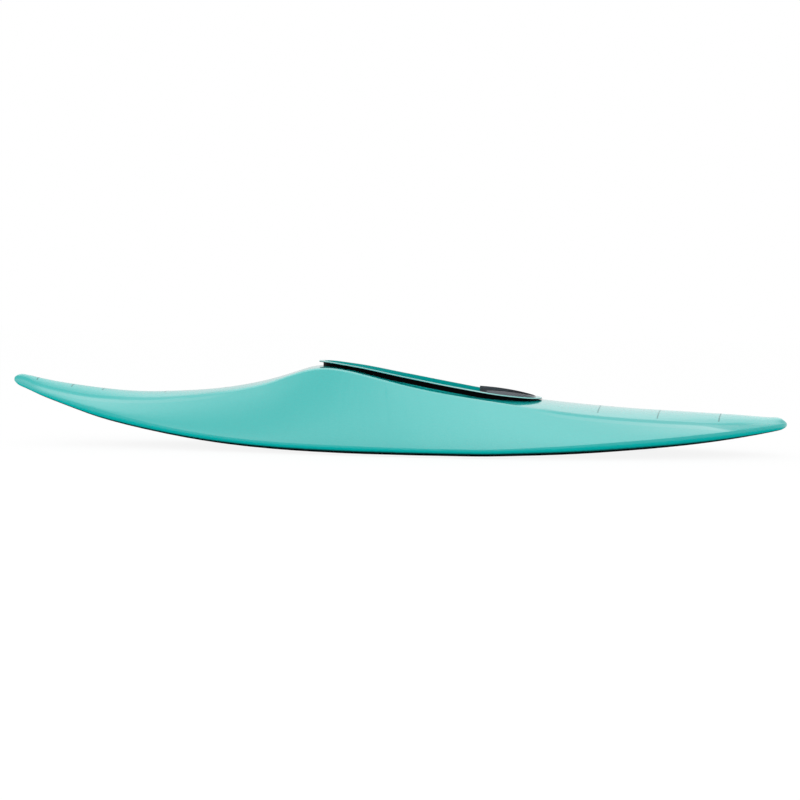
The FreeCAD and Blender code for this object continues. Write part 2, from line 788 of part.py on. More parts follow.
def make_back_band_bolts():
    # Shank through the band's end and the seat's wall, with a head and a spacer collar
    pivot = pivot_place(1)
    outer, centre = band_arc()
    collar = size("pivot_collar_diameter")
    collar_end = seat_wall_reach(collar / 2) - gap
    shank_end = seat_wall_reach(size("pivot_bolt_diameter") / 2) + size("seat_wall")
    near_edge = pivot.x - collar / 2 - centre
    far_edge = pivot.x + collar / 2 - centre
    collar_start = math.sqrt(outer ** 2 - near_edge ** 2) - pivot.y + gap
    head_start = math.sqrt((outer - size("back_band_thickness")) ** 2 - far_edge ** 2) - pivot.y - gap
    bolts = []
    for sign in (-1, 1):
        place = pivot_place(sign)
        head = bar_across(place, collar, head_start - size("pivot_head_height"), head_start, sign)
        shank = bar_across(place, size("pivot_bolt_diameter"), head_start, shank_end, sign)
        spacer = bar_across(place, collar, collar_start, collar_end, sign)
        bolts.append(head.fuse([shank, spacer]).removeSplitter())
    keep("back_band_bolts", Part.makeCompound(bolts))


def make_rail_lugs():
    # Lugs that carry the rails off the inside of the hull's sides
    lugs = []
    for sign in (-1, 1):
        for end in (-1, 1):
            bolt = rail_bolt_place(sign, end)
            half_length = size("lug_length") / 2
            half_height = size("lug_height") / 2
            inner = bolt.y + sign * size("rail_wall")
            outer = sign * size("hull_beam") / 2
            low = Vector(bolt.x - half_length, min(inner, outer), bolt.z - half_height)
            high = Vector(bolt.x + half_length, max(inner, outer), bolt.z + half_height)
            lug = shared(box_between(low, high), fitting_space)
            hole = bar_across(bolt, size("bolt_diameter"), 0, size("bolt_length"), sign)
            lugs.append(minus(lug, hole))
    keep("rail_lugs", Part.makeCompound(lugs))


def rail_bolt_place(sign, end):
    # Seat of a bolt head, on the inside of the rail's web
    x = x_at(FOOTREST_STATION_SHARE) + end * (size("rail_length") / 2 - size("rail_end_margin"))
    return Vector(x, sign * (size("rail_spacing") / 2 - size("rail_wall")), size("rail_level"))


def origin_plane(body, role):
    return [plane for plane in body.Origin.OriginFeatures if plane.Role == role][0]


def new_body(label):
    body = doc.addObject("PartDesign::Body", label)
    body.Label = label
    sub_parts.append(body)
    return body


def new_sketch(body, role, name):
    sketch = body.newObject("Sketcher::SketchObject", name)
    sketch.AttachmentSupport = (origin_plane(body, role), [""])
    sketch.MapMode = "FlatFace"
    return sketch


def bind(sketch, kind, geometry, point, formula):
    # Ties one coordinate of a sketch point to the sheet
    value = float(sketch.evalExpression(formula))
    place = sketch.addConstraint(Sketcher.Constraint(kind, -1, 1, geometry, point, value))
    sketch.setExpression(f"Constraints[{place}]", formula)


def draw_polygon(sketch, corners):
    # Closed outline whose corners are pairs of formulas of the sheet
    points = [
        Vector(float(sketch.evalExpression(across)), float(sketch.evalExpression(up)), 0)
        for across, up in corners
    ]
    for here, after in zip(points, points[1:] + points[:1]):
        sketch.addGeometry(Part.LineSegment(here, after))
    for i, (across, up) in enumerate(corners):
        sketch.addConstraint(Sketcher.Constraint("Coincident", i, 1, (i - 1) % len(corners), 2))
        bind(sketch, "DistanceX", i, 1, across)
        bind(sketch, "DistanceY", i, 1, up)


def draw_circle(sketch, across, up, diameter):
    centre = Vector(float(sketch.evalExpression(across)), float(sketch.evalExpression(up)), 0)
    width = float(sketch.evalExpression(diameter))
    circle = sketch.addGeometry(Part.Circle(centre, Vector(0, 0, 1), width / 2))
    bind(sketch, "DistanceX", circle, 3, across)
    bind(sketch, "DistanceY", circle, 3, up)
    place = sketch.addConstraint(Sketcher.Constraint("Diameter", circle, width))
    sketch.setExpression(f"Constraints[{place}]", diameter)


def origin_axis(body, role):
    return [axis for axis in body.Origin.OriginFeatures if axis.Role == role][0]


def pad(body, sketch, name, length, midplane=False, backwards=False):
    feature = body.newObject("PartDesign::Pad", name)
    feature.Profile = sketch
    feature.setExpression("Length", length)
    feature.Midplane = midplane
    feature.Reversed = backwards
    return feature


def pocket(body, sketch, name, length):
    feature = body.newObject("PartDesign::Pocket", name)
    feature.Profile = sketch
    feature.setExpression("Length", length)
    feature.Midplane = True
    return feature


def fillet(body, base, name, radius, wanted):
    # Rounds the edges of the base that the test picks
    doc.recompute()
    names = [f"Edge{i}" for i, edge in enumerate(base.Shape.Edges, start=1) if wanted(edge)]
    feature = body.newObject("PartDesign::Fillet", name)
    feature.Base = (base, names)
    feature.setExpression("Radius", radius)
    return feature


def place_on_rail(body, across, station_shift="0"):
    # Footrest pieces are drawn about the middle of their rail
    place = f"({FOOTREST_STATION_SHARE} - 0.5) * Sizes.hull_length + {station_shift}"
    body.setExpression("Placement.Base.x", place)
    body.setExpression("Placement.Base.y", across)
    body.setExpression("Placement.Base.z", "Sizes.rail_level")


def runs_along(edge, axis):
    if len(edge.Vertexes) != 2:
        return False
    return edge.tangentAt(edge.FirstParameter).cross(axis).Length < size("fit_tolerance")


def make_footrest_rail(label, sign):
    # Channel with a slot along its inner side
    body = new_body(label)
    profile = new_sketch(body, "YZ_Plane", label + "_profile")
    web = f"{sign} * Sizes.rail_depth / 2"
    web_inside = f"{sign} * (Sizes.rail_depth / 2 - Sizes.rail_wall)"
    lip = f"{-sign} * Sizes.rail_depth / 2"
    lip_inside = f"{-sign} * (Sizes.rail_depth / 2 - Sizes.rail_wall)"
    half = "Sizes.rail_height / 2"
    inner_half = "(Sizes.rail_height / 2 - Sizes.rail_wall)"
    slot = "Sizes.rail_slot / 2"
    draw_polygon(profile, (
        (web, f"-{half}"), (web, half), (lip, half), (lip, slot), (lip_inside, slot),
        (lip_inside, inner_half), (web_inside, inner_half), (web_inside, f"-{inner_half}"),
        (lip_inside, f"-{inner_half}"), (lip_inside, f"-{slot}"), (lip, f"-{slot}"), (lip, f"-{half}"),
    ))
    pad(body, profile, label + "_bar", "Sizes.rail_length", midplane=True)
    holes = new_sketch(body, "XZ_Plane", label + "_holes")
    for end in (-1, 1):
        along = f"{end} * (Sizes.rail_length / 2 - Sizes.rail_end_margin)"
        draw_circle(holes, along, "0 * Sizes.rail_level", "Sizes.bolt_diameter")
    drilled = pocket(body, holes, label + "_drilling", "Sizes.rail_depth - Sizes.rail_wall")
    drilled.Midplane = False
    drilled.Reversed = sign < 0
    place_on_rail(body, f"{sign} * (Sizes.rail_spacing - Sizes.rail_depth) / 2")
    return body


def make_rail_bolts():
    # Pan-head bolts through the web of each rail into its lug
    bolts = []
    for sign in (-1, 1):
        for end in (-1, 1):
            seat = rail_bolt_place(sign, end)
            head = bar_across(seat, size("bolt_head_diameter"), -size("bolt_head_height"), 0, sign)
            shank = bar_across(seat, size("bolt_diameter"), 0, size("bolt_length"), sign)
            bolts.append(head.fuse(shank).removeSplitter())
    keep("rail_bolts", Part.makeCompound(bolts))


def make_footrest_slider(label, sign):
    # Foot inside the channel, neck through its slot and carriage on its inner side
    body = new_body(label)
    profile = new_sketch(body, "YZ_Plane", label + "_profile")
    play = "Sizes.slide_clearance"
    foot_outer = f"{sign} * (Sizes.rail_depth / 2 - Sizes.rail_wall - {play})"
    foot_inner = f"{-sign} * (Sizes.rail_depth / 2 - Sizes.rail_wall - {play})"
    carriage_outer = f"{-sign} * (Sizes.rail_depth / 2 + {play})"
    carriage_inner = f"{-sign} * (Sizes.rail_depth / 2 + {play} + Sizes.carriage_depth)"
    foot_half = f"(Sizes.rail_height / 2 - Sizes.rail_wall - {play})"
    neck_half = f"(Sizes.rail_slot / 2 - {play})"
    carriage_half = "Sizes.carriage_height / 2"
    draw_polygon(profile, (
        (foot_outer, f"-{foot_half}"), (foot_outer, foot_half), (foot_inner, foot_half),
        (foot_inner, neck_half), (carriage_outer, neck_half), (carriage_outer, carriage_half),
        (carriage_inner, carriage_half), (carriage_inner, f"-{carriage_half}"),
        (carriage_outer, f"-{carriage_half}"), (carriage_outer, f"-{neck_half}"),
        (foot_inner, f"-{neck_half}"), (foot_inner, f"-{foot_half}"),
    ))
    pad(body, profile, label + "_block", "Sizes.slider_length", midplane=True)
    bore = new_sketch(body, "XZ_Plane", label + "_bore")
    zero = "0 * Sizes.rail_level"
    draw_circle(bore, zero, zero, f"Sizes.knob_post_diameter + 2 * {play}")
    bore_reach = "2 * (Sizes.rail_depth + Sizes.carriage_depth) + Sizes.cut_overrun"
    pocket(body, bore, label + "_boring", bore_reach)
    place_on_rail(body, f"{sign} * (Sizes.rail_spacing - Sizes.rail_depth) / 2")
    return body


def make_footrest_plate():
    # Plate across the boat with ears that lie on the ends of the sliders
    label = "footrest_plate"
    body = new_body(label)
    outline = new_sketch(body, "YZ_Plane", label + "_outline")
    ear = "(Sizes.rail_spacing / 2 - Sizes.rail_depth - 2 * Sizes.slide_clearance)"
    shoulder = f"({ear} - Sizes.carriage_depth)"
    ear_half = "Sizes.carriage_height / 2"
    waist_half = "Sizes.carriage_height"
    top = "(Sizes.plate_rise + Sizes.plate_height / 2)"
    foot = "(Sizes.plate_rise - Sizes.plate_height / 2)"
    right = (
        ("Sizes.plate_foot_width / 2", foot), (shoulder, f"-{waist_half}"), (ear, f"-{ear_half}"),
        (ear, ear_half), (shoulder, waist_half), ("Sizes.plate_top_width / 2", top),
    )
    left = tuple((f"-{across}", up) for across, up in reversed(right))
    draw_polygon(outline, right + left)
    plate = pad(body, outline, label + "_sheet", "Sizes.plate_thickness", backwards=True)
    ledge_line = new_sketch(body, "YZ_Plane", label + "_ledge_line")
    draw_polygon(ledge_line, (
        ("-Sizes.plate_foot_width / 2", foot), ("Sizes.plate_foot_width / 2", foot),
        ("Sizes.plate_foot_width / 2", f"{foot} + Sizes.plate_thickness"),
        ("-Sizes.plate_foot_width / 2", f"{foot} + Sizes.plate_thickness"),
    ))
    pad(body, ledge_line, label + "_heel_ledge", "Sizes.heel_ledge_depth")
    window = new_sketch(body, "YZ_Plane", label + "_window_line")
    half_width = "Sizes.window_width / 2"
    sill = "Sizes.plate_rise - Sizes.window_height / 2"
    head = "Sizes.plate_rise + Sizes.window_height / 2"
    draw_polygon(window, (
        (f"-{half_width}", sill), (half_width, sill), (half_width, head), (f"-{half_width}", head),
    ))
    window_reach = "2 * Sizes.plate_thickness + Sizes.cut_overrun"
    opened = pocket(body, window, label + "_window", window_reach)
    top_level = size("plate_rise") + size("plate_height") / 2

    def in_window(edge):
        return runs_along(edge, X_AXIS) and abs(edge.CenterOfMass.y) < size("window_width")

    def at_top(edge):
        return runs_along(edge, X_AXIS) and edge.CenterOfMass.z > top_level - size("plate_thickness")

    rounded = fillet(body, opened, label + "_window_rounding", "Sizes.window_round", in_window)
    fillet(body, rounded, label + "_corner_rounding", "Sizes.plate_corner", at_top)
    place_on_rail(body, "0 * Sizes.rail_spacing", "-Sizes.slider_length / 2")
    return body


def make_foot_pads():
    # Two foam pads on the face of the plate that the feet push against
    pads = []
    x = x_at(FOOTREST_STATION_SHARE) - size("slider_length") / 2
    level = size("rail_level") + size("plate_rise")
    half_width = size("foot_pad_width") / 2
    half_height = size("foot_pad_height") / 2
    for sign in (-1, 1):
        middle = sign * size("foot_pad_spacing") / 2
        low = Vector(x, middle - half_width, level - half_height)
        high = Vector(x + size("foot_pad_thickness"), middle + half_width, level + half_height)
        block = box_between(low, high)
        corners = [edge for edge in block.Edges if runs_along(edge, X_AXIS)]
        pads.append(block.makeFillet(size("foot_pad_round"), corners))
    keep("footrest_pads", Part.makeCompound(pads))


def make_footrest_knob(label, sign):
    # Clamp knob with a fluted grip, on a post that runs through the slider
    body = new_body(label)
    grip_line = new_sketch(body, "XZ_Plane", label + "_grip_line")
    zero = "0 * Sizes.knob_height"
    draw_circle(grip_line, zero, zero, "Sizes.knob_diameter")
    grip = pad(body, grip_line, label + "_grip", "Sizes.knob_height", backwards=sign < 0)
    doc.recompute()
    rims = [f"Edge{i}" for i, edge in enumerate(grip.Shape.Edges, start=1) if len(edge.Vertexes) == 1]
    bevel = body.newObject("PartDesign::Chamfer", label + "_bevel")
    bevel.Base = (grip, rims)
    bevel.setExpression("Size", "Sizes.knob_bevel")
    flute_line = new_sketch(body, "XZ_Plane", label + "_flute_line")
    draw_circle(flute_line, "Sizes.knob_diameter / 2", zero, "Sizes.knob_grip_diameter")
    flute_reach = "2 * Sizes.knob_height + Sizes.cut_overrun"
    flute = pocket(body, flute_line, label + "_flute", flute_reach)
    flutes = body.newObject("PartDesign::PolarPattern", label + "_flutes")
    flutes.Originals = [flute]
    flutes.Axis = (origin_axis(body, "Y_Axis"), [""])
    flutes.Angle = 360
    flutes.setExpression("Occurrences", "Sizes.knob_grips")
    body.Tip = flutes
    post_line = new_sketch(body, "XZ_Plane", label + "_post_line")
    draw_circle(post_line, zero, zero, "Sizes.knob_post_diameter")
    post_length = "Sizes.carriage_depth + Sizes.rail_depth - Sizes.rail_wall"
    pad(body, post_line, label + "_post", post_length, backwards=sign > 0)
    ear = "Sizes.rail_spacing / 2 - Sizes.rail_depth - 2 * Sizes.slide_clearance"
    place_on_rail(body, f"{sign} * ({ear} - Sizes.carriage_depth)")
    return body


for build_step in (
    make_hull_shell, make_deck_shell, make_seam_tape, make_cockpit_rim, make_rim_neck_band, make_seat_shell,
    make_seat_base_block, make_seat_pad, make_hip_pads, make_knee_pads, make_pillars, make_airbags,
    make_back_band, make_back_band_bolts, make_rail_lugs, make_rail_bolts, make_foot_pads,
):
    build_step()
for side_name, side_sign in (("left", -1), ("right", 1)):
    make_footrest_rail(f"footrest_rail_{side_name}", side_sign)
    make_footrest_slider(f"footrest_slider_{side_name}", side_sign)
    make_footrest_knob(f"footrest_knob_{side_name}", side_sign)
make_footrest_plate()

doc.recompute()

for item in doc.Objects:
    if "Invalid" in item.State or "Error" in item.State:
        raise RuntimeError(f"{item.Label} failed: {item.State}")
for piece in sub_parts:
    if piece.Shape.isNull() or not piece.Shape.isValid():
        raise RuntimeError(f"{piece.Label} has no valid shape")

os.makedirs("parts", exist_ok=True)
for piece in sub_parts:
    piece.Shape.exportStep(f"parts/{piece.Label}.step")
    print(f"{piece.Label}: {len(piece.Shape.Solids)} solids, {piece.Shape.Volume / 1000:.1f} cm3")
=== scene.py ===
import math

import bmesh
import bpy
from mathutils import Matrix, Vector, noise
from mathutils.bvhtree import BVHTree


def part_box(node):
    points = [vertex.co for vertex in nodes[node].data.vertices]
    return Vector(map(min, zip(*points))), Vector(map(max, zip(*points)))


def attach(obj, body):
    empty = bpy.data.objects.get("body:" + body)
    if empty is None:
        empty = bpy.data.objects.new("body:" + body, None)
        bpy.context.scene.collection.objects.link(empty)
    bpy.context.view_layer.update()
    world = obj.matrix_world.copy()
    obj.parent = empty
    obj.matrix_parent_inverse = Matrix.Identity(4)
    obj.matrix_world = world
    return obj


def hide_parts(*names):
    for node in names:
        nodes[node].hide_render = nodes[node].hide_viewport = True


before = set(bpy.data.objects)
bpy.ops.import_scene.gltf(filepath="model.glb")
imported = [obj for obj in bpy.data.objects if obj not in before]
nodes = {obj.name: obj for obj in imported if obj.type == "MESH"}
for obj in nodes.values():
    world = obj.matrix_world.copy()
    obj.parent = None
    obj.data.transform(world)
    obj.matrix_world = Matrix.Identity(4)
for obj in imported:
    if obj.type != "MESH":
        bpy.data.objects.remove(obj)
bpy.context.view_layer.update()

# A laminate whitewater kayak, in metres, bow at -X and stern at +X.
# The CAD nodes carry the hard pieces. Soft pieces are made here in their place.

scene = bpy.context.scene
scene.view_settings.view_transform = "Standard"

BOAT_LENGTH = 3.0
BOAT_DEPTH = 0.34
UP = Vector((0.0, 0.0, 1.0))

# Camera: off the port side, a little higher than the boat, turned a little about its own axis
CAMERA_PLACE = Vector((-0.004, -4.0, 0.470))
CAMERA_AIM = Vector((-0.004, 0.0, 0.190))
CAMERA_ROLL = math.radians(1.0)
CAMERA_LENS = 46.44
SENSOR_WIDTH = 36.0

# Light and floor
KEY_PLACE = (-1.0, -3.6, 1.7)
KEY_AIM = (0.0, 0.0, 0.1)
KEY_WIDTH = 5.0
KEY_HEIGHT = 3.0
KEY_POWER = 34.0
FLOOR_REACH = 60.0
FLOOR_COLOUR = (0.9, 0.9, 0.9, 1.0)
FLOOR_GLOW_SHARE = 0.85
FLOOR_GLOW_LEVEL = 1.04
WHITE = (1.0, 1.0, 1.0, 1.0)
# Strength of the sky in a mirror across the boat, from the camera's side at 0, over the top at
# 0.5, to the far side at 1: a wide soft box hangs above, and it reaches lower at the stern
BOW_SKY_SHARES = (
    (0.0, 1.0), (0.05, 1.3), (0.1, 1.15), (0.2, 1.0), (0.3, 1.28), (0.4, 1.75), (0.5, 1.9),
    (0.6, 2.0), (0.7, 1.88), (0.8, 1.62), (0.9, 1.1), (1.0, 0.72),
)
STERN_SKY_SHARES = (
    (0.0, 1.7), (0.1, 2.1), (0.2, 2.2), (0.3, 2.15), (0.4, 2.1), (0.5, 2.1), (0.6, 2.05),
    (0.7, 1.85), (0.8, 1.7), (0.9, 1.25), (1.0, 0.8),
)
SKY_TOP = 2.5
SKY_BOW_END = -0.35
SKY_STERN_END = 0.25
SKY_END_FADE = (0.5, 0.85)
SKY_END_LEVEL = 0.8
DIFFUSE_SKY_LEVEL = 1.11
DIFFUSE_SKY_RISE = -0.45

# Colours, linear
TEAL = (0.003, 0.455, 0.43, 1.0)
TEAL_LINE = (0.004, 0.15, 0.145, 1.0)
PAINT_BLACK = (0.004, 0.005, 0.006, 1.0)
CARBON_DARK = (0.045, 0.047, 0.055, 1.0)
CARBON_LIGHT = (0.135, 0.14, 0.162, 1.0)
LIP_HIGHLIGHT_PALE = (0.55, 0.97, 0.92, 1.0)
BAND_BLACK = (0.0004, 0.0004, 0.0005, 1.0)
BAND_GREY = (0.0015, 0.0015, 0.0018, 1.0)
FOAM_BLACK = (0.026, 0.027, 0.030, 1.0)
FOAM_GREY = (0.11, 0.115, 0.12, 1.0)
BINDING_GREY = (0.035, 0.037, 0.04, 1.0)
FILM_GREY = (0.62, 0.64, 0.62, 1.0)
ALUMINIUM_DARK = (0.09, 0.09, 0.10, 1.0)
STEEL = (0.56, 0.56, 0.57, 1.0)
KNOB_BLACK = (0.012, 0.012, 0.013, 1.0)
THREAD_TEAL = (0.02, 0.33, 0.31, 1.0)
WEBBING_BLACK = (0.012, 0.012, 0.014, 1.0)

# Roughness: its lowest and highest value, or its middle with how far it falls and rises along
# the drawn lines of a metal, which are long along the boat and fine across it
GELCOAT_ROUGHNESS = (0.2, 0.34)
CARBON_ROUGHNESS = (0.28, 0.42)
FOAM_ROUGHNESS = (0.72, 0.92)
FILM_ROUGHNESS = (0.25, 0.45)
STEEL_ROUGHNESS = 0.3
ALUMINIUM_ROUGHNESS = 0.38
DRAWN_FALL = 0.08
DRAWN_RISE = 0.1
DRAWN_STRETCH = (40.0, 2200.0, 2200.0)

# Weaves: a thread's width, the threads in a repeat, and the step of it below which warp is on top
LAMINATE_CELL = 0.004
CARBON_CELL = 0.002
COVER_CELL = 0.0012
BINDING_CELL = 0.0009
STRAP_CELL = 0.0016
TWILL_REPEAT = 4.0
TWILL_WARP_STEPS = 1.5
# Share of the weave in the cover's bumps, beside its fuzz
COVER_WEAVE_SHARE = 0.6
# Foam: pores in a metre of the pads and of the coarser walls
PAD_PORES = 420.0
WALL_PORES = 240.0

# Middle height of the cavity along the boat, as shares of the depth by shares of the length
CORE_SHARES = (
    (0.0, 0.73), (0.06, 0.6), (0.118, 0.5), (0.17, 0.43), (0.22, 0.39), (0.27, 0.38), (0.33, 0.4),
    (0.4, 0.45), (0.5, 0.4), (0.6, 0.33), (0.7, 0.3), (0.8, 0.3), (0.9, 0.33), (1.0, 0.36),
)
# Height of the edge between deck and side along the boat, as shares of the depth by shares of
# the length: the middle of the deck solid's rounded edge, or a little lower at the stern's tip
CREASE_SHARES = (
    (0.0, 0.735), (0.004, 0.748), (0.015, 0.735), (0.03, 0.682), (0.063, 0.612), (0.116, 0.551),
    (0.168, 0.54), (0.22, 0.57), (0.272, 0.632), (0.323, 0.724), (0.373, 0.876), (0.395, 0.92),
    (0.413, 0.925), (0.44, 0.89), (0.474, 0.822), (0.535, 0.706), (0.597, 0.618), (0.634, 0.572),
    (0.677, 0.518), (0.696, 0.492), (0.747, 0.444), (0.811, 0.404), (0.877, 0.372), (0.918, 0.344),
    (0.958, 0.332), (0.985, 0.335), (1.0, 0.335),
)
# Painted shade: the gloss is taken off along that edge at both ends of the boat, over a wider stretch
# at the stern's tip. A painted highlight, a whiter line, runs below it at both ends, but not at that
# tip
EDGE_LINE_REACH = (0.003, 0.007)
EDGE_HIGHLIGHT_DROP = 0.012
EDGE_HIGHLIGHT_SHARE = 0.035
EDGE_BOW_FADE = (-0.75, -0.6)
EDGE_STERN_FADE = (0.45, 0.6)
EDGE_TIP_FADE = (1.12, 1.32)
EDGE_BOW_SHARE = 0.5
EDGE_STERN_SHARE = 0.68
EDGE_TIP_WIDER = 2.0
# Fine lines across the deck: place along the boat, slant per metre sideways and reach sideways
DECK_LINES = (
    (-1.405, 0.1, 0.02), (-1.268, 0.1, 0.03), (-1.150, 0.1, 0.03), (-0.909, 0.1, 0.035),
    (-0.675, 0.1, 0.035), (0.778, 0.28, 0.15), (1.010, 0.35, 0.13), (1.245, 0.4, 0.09),
)
DECK_LINE_WIDTH = 0.0048
DECK_LINE_SHARE = 0.85
DECK_LINE_DULL_SHARE = 0.65
# How far down the hull's faces look where its black bottom sets in, and where its shine fades
BLACK_BOTTOM_FADE = (0.55, 0.85)
BOTTOM_SHINE_FADE = (0.02, 0.4)
# Height of the rim's lip along the boat, as shares of the depth by shares of the length
LIP_SHARES = (
    (0.0, 1.0), (0.34, 1.0), (0.394, 0.998), (0.437, 0.958), (0.504, 0.851), (0.566, 0.752),
    (0.627, 0.666), (0.682, 0.62), (0.76, 0.575), (1.0, 0.575),
)
# The rim's shine sets in over this turn from inward to outward faces, and over this height below
# the lip; the rest of the rim has hardly any
RIM_SHINE_TILT = (-0.45, -0.15)
LIP_SHINE_REACH = (-0.012, -0.008)
RIM_WALL_SHINE = 0.05
RIM_COAT_IOR = 2.2
# A painted highlight: the lip's outer edge is painted pale towards the stern
LIP_HIGHLIGHT_SHARE = 0.5
LIP_HIGHLIGHT_FADE = (0.0, 0.3)
LIP_HIGHLIGHT_TILT = (0.4, 0.8)

# Soft pieces: the size of their cells, how far their skin is set in before air fills it, how far
# the air may push it, and how full they are; the foam walls are plain blocks with no air
SEAT_FORM = (0.005, 0.0022, 0.009, 0.8)
HIP_FORM = (0.0045, 0.002, 0.007, 0.85)
KNEE_FORM = (0.0045, 0.0018, 0.006, 0.85)
FOOT_FORM = (0.0035, 0.0014, 0.005, 0.85)
BAND_FORM = (0.004, 0.0024, 0.005, 0.75)
BAG_FORM = (0.011, 0.005, 0.016, 0.9)
WALL_FORM = (0.008, 0.0005, 0.0, None)
CLOTH_FRAMES = 20
CLOTH_PRESSURE = 4.0
WELD_REACH = 1e-6
ROUNDING_FACTOR = 0.5
ROUNDING_TURNS = 2
SKIN_CLEARANCE = 0.0004
# Channels sewn across the cushions, and how squarely a face has to look along their way
CHANNEL_WIDTH = 0.007
CHANNEL_DEPTH = 0.0026
CHANNEL_LEAST_FACING = 0.5
SEAT_CHANNEL_SHARES = (0.2, 0.4, 0.6, 0.8)
PAD_CHANNEL_SHARES = (0.33, 0.67)
# Creases of the airbags' film, longer along the boat
PUCKER_DEPTH = 0.004
PUCKER_SCALE = 26.0
PUCKER_LENGTHWISE = 0.35
PUCKER_SHARPNESS = 6
# Stitches: their rings, as shares of the length and of the radius, draw in at both ends
STITCH_LENGTH = 0.0032
STITCH_PITCH = 0.0050
STITCH_RADIUS = 0.00045
STITCH_RINGS = ((0.0, 0.35), (0.15, 1.0), (0.85, 1.0), (1.0, 0.35))
STITCH_CORNERS = 6
STITCH_LIFT_SHARE = 0.4
STITCH_LEAST_FACING = 0.4
# Piping round the seat cushion
PIPING_RADIUS = 0.0014
PIPING_STEPS = 96
PIPING_CORNERS = 8
PIPING_SUNK_SHARE = 0.6
# Back band: its arc, seen from above, and the trim that is sewn on it
BAND_CENTRE_X = 0.34212
BAND_OUTER_RADIUS = 0.13888
BAND_THICKNESS = 0.018
BAND_HALF_SWEEP = math.radians(70.0)
BAND_STEPS = 56
BINDING_DROP = 0.010
BINDING_THICKNESS = 0.0012
BINDING_ROUND_SHARE = 0.75
BINDING_STEPS = 8
STRAP_HALF_HEIGHT = 0.0125
STRAP_THICKNESS = 0.0016
BAND_STITCH_LIFT = 0.0002
BAND_STITCH_GAP = 0.0022


# Shader trees

class Nodes:
    """Short names for building one shader tree."""

    def __init__(self, tree):
        self.tree = tree

    def add(self, kind, **settings):
        node = self.tree.nodes.new(kind)
        for name, value in settings.items():
            setattr(node, name, value)
        return node

    def link(self, source, socket):
        if isinstance(source, (int, float, tuple)):
            socket.default_value = source
        else:
            self.tree.links.new(source, socket)

    def math(self, operation, *inputs, clamp=False):
        node = self.add("ShaderNodeMath", operation=operation, use_clamp=clamp)
        for source, socket in zip(inputs, node.inputs):
            self.link(source, socket)
        return node.outputs[0]

    def smooth(self, value, low, high):
        """0 below low, 1 above high, smooth between them."""
        node = self.add("ShaderNodeMapRange", interpolation_type="SMOOTHSTEP")
        self.link(value, node.inputs["Value"])
        node.inputs["From Min"].default_value = low
        node.inputs["From Max"].default_value = high
        return node.outputs["Result"]

    def noise(self, scale, detail=2.0, vector=None):
        node = self.add("ShaderNodeTexNoise")
        node.inputs["Scale"].default_value = scale
        node.inputs["Detail"].default_value = detail
        self.link(vector or self.place(), node.inputs["Vector"])
        return node.outputs["Fac"]

    def split(self, vector):
        node = self.add("ShaderNodeSeparateXYZ")
        self.link(vector, node.inputs[0])
        return node.outputs[0:3]

    def place(self):
        return self.add("ShaderNodeTexCoord").outputs["Object"]

    def place_parts(self):
        return self.split(self.place())

    def facing_parts(self):
        return self.split(self.add("ShaderNodeTexCoord").outputs["Normal"])

    def mix_colour(self, factor, first, second):
        node = self.add("ShaderNodeMix", data_type="RGBA")
        self.link(factor, node.inputs[0])
        self.link(first, node.inputs[6])
        self.link(second, node.inputs[7])
        return node.outputs[2]

    def mix_value(self, factor, first, second):
        node = self.add("ShaderNodeMix", data_type="FLOAT")
        self.link(factor, node.inputs[0])
        self.link(first, node.inputs[2])
        self.link(second, node.inputs[3])
        return node.outputs[0]

    def bump(self, height, strength, distance):
        node = self.add("ShaderNodeBump")
        node.inputs["Strength"].default_value = strength
        node.inputs["Distance"].default_value = distance
        self.link(height, node.inputs["Height"])
        return node.outputs["Normal"]

    def curve(self, value, points):
        """A value read off a line of points from 0 to 1."""
        node = self.add("ShaderNodeFloatCurve")
        line = node.mapping.curves[0]
        line.points[0].location = points[0]
        line.points[1].location = points[-1]
        for point in points[1:-1]:
            line.points.new(*point)
        node.mapping.update()
        self.link(value, node.inputs["Value"])
        return node.outputs["Value"]

    def height_at(self, x, shares):
        """A height above the ground that changes along the boat."""
        station = self.math("ADD", self.math("DIVIDE", x, BOAT_LENGTH), 0.5)
        return self.math("MULTIPLY", self.curve(station, shares), BOAT_DEPTH)


def new_material(name):
    material = bpy.data.materials.new(name)
    material.use_nodes = True
    shader = material.node_tree.nodes["Principled BSDF"]
    return material, Nodes(material.node_tree), shader


def shaded(colour, share):
    """A colour made darker or lighter, up to full brightness."""
    return tuple(min(1.0, level * share) for level in colour[:3]) + (1.0,)


# Camera, light and floor

def add_camera():
    data = bpy.data.cameras.new("camera")
    data.lens = CAMERA_LENS
    data.sensor_width = SENSOR_WIDTH
    camera = bpy.data.objects.new("camera", data)
    scene.collection.objects.link(camera)
    forward = (CAMERA_AIM - CAMERA_PLACE).normalized()
    level = forward.cross(UP).normalized()
    above = level.cross(forward)
    right = level * math.cos(CAMERA_ROLL) + above * math.sin(CAMERA_ROLL)
    up = right.cross(forward)
    turn = Matrix((right, up, -forward)).transposed().to_4x4()
    camera.matrix_world = Matrix.Translation(CAMERA_PLACE) @ turn
    scene.camera = camera


def is_seen_ray(n):
    """1 where a ray comes from the camera or from a mirror or glass surface."""
    path = n.add("ShaderNodeLightPath")
    mirror = n.math("MAXIMUM", path.outputs["Is Glossy Ray"], path.outputs["Is Transmission Ray"])
    return n.math("MAXIMUM", path.outputs["Is Camera Ray"], mirror)


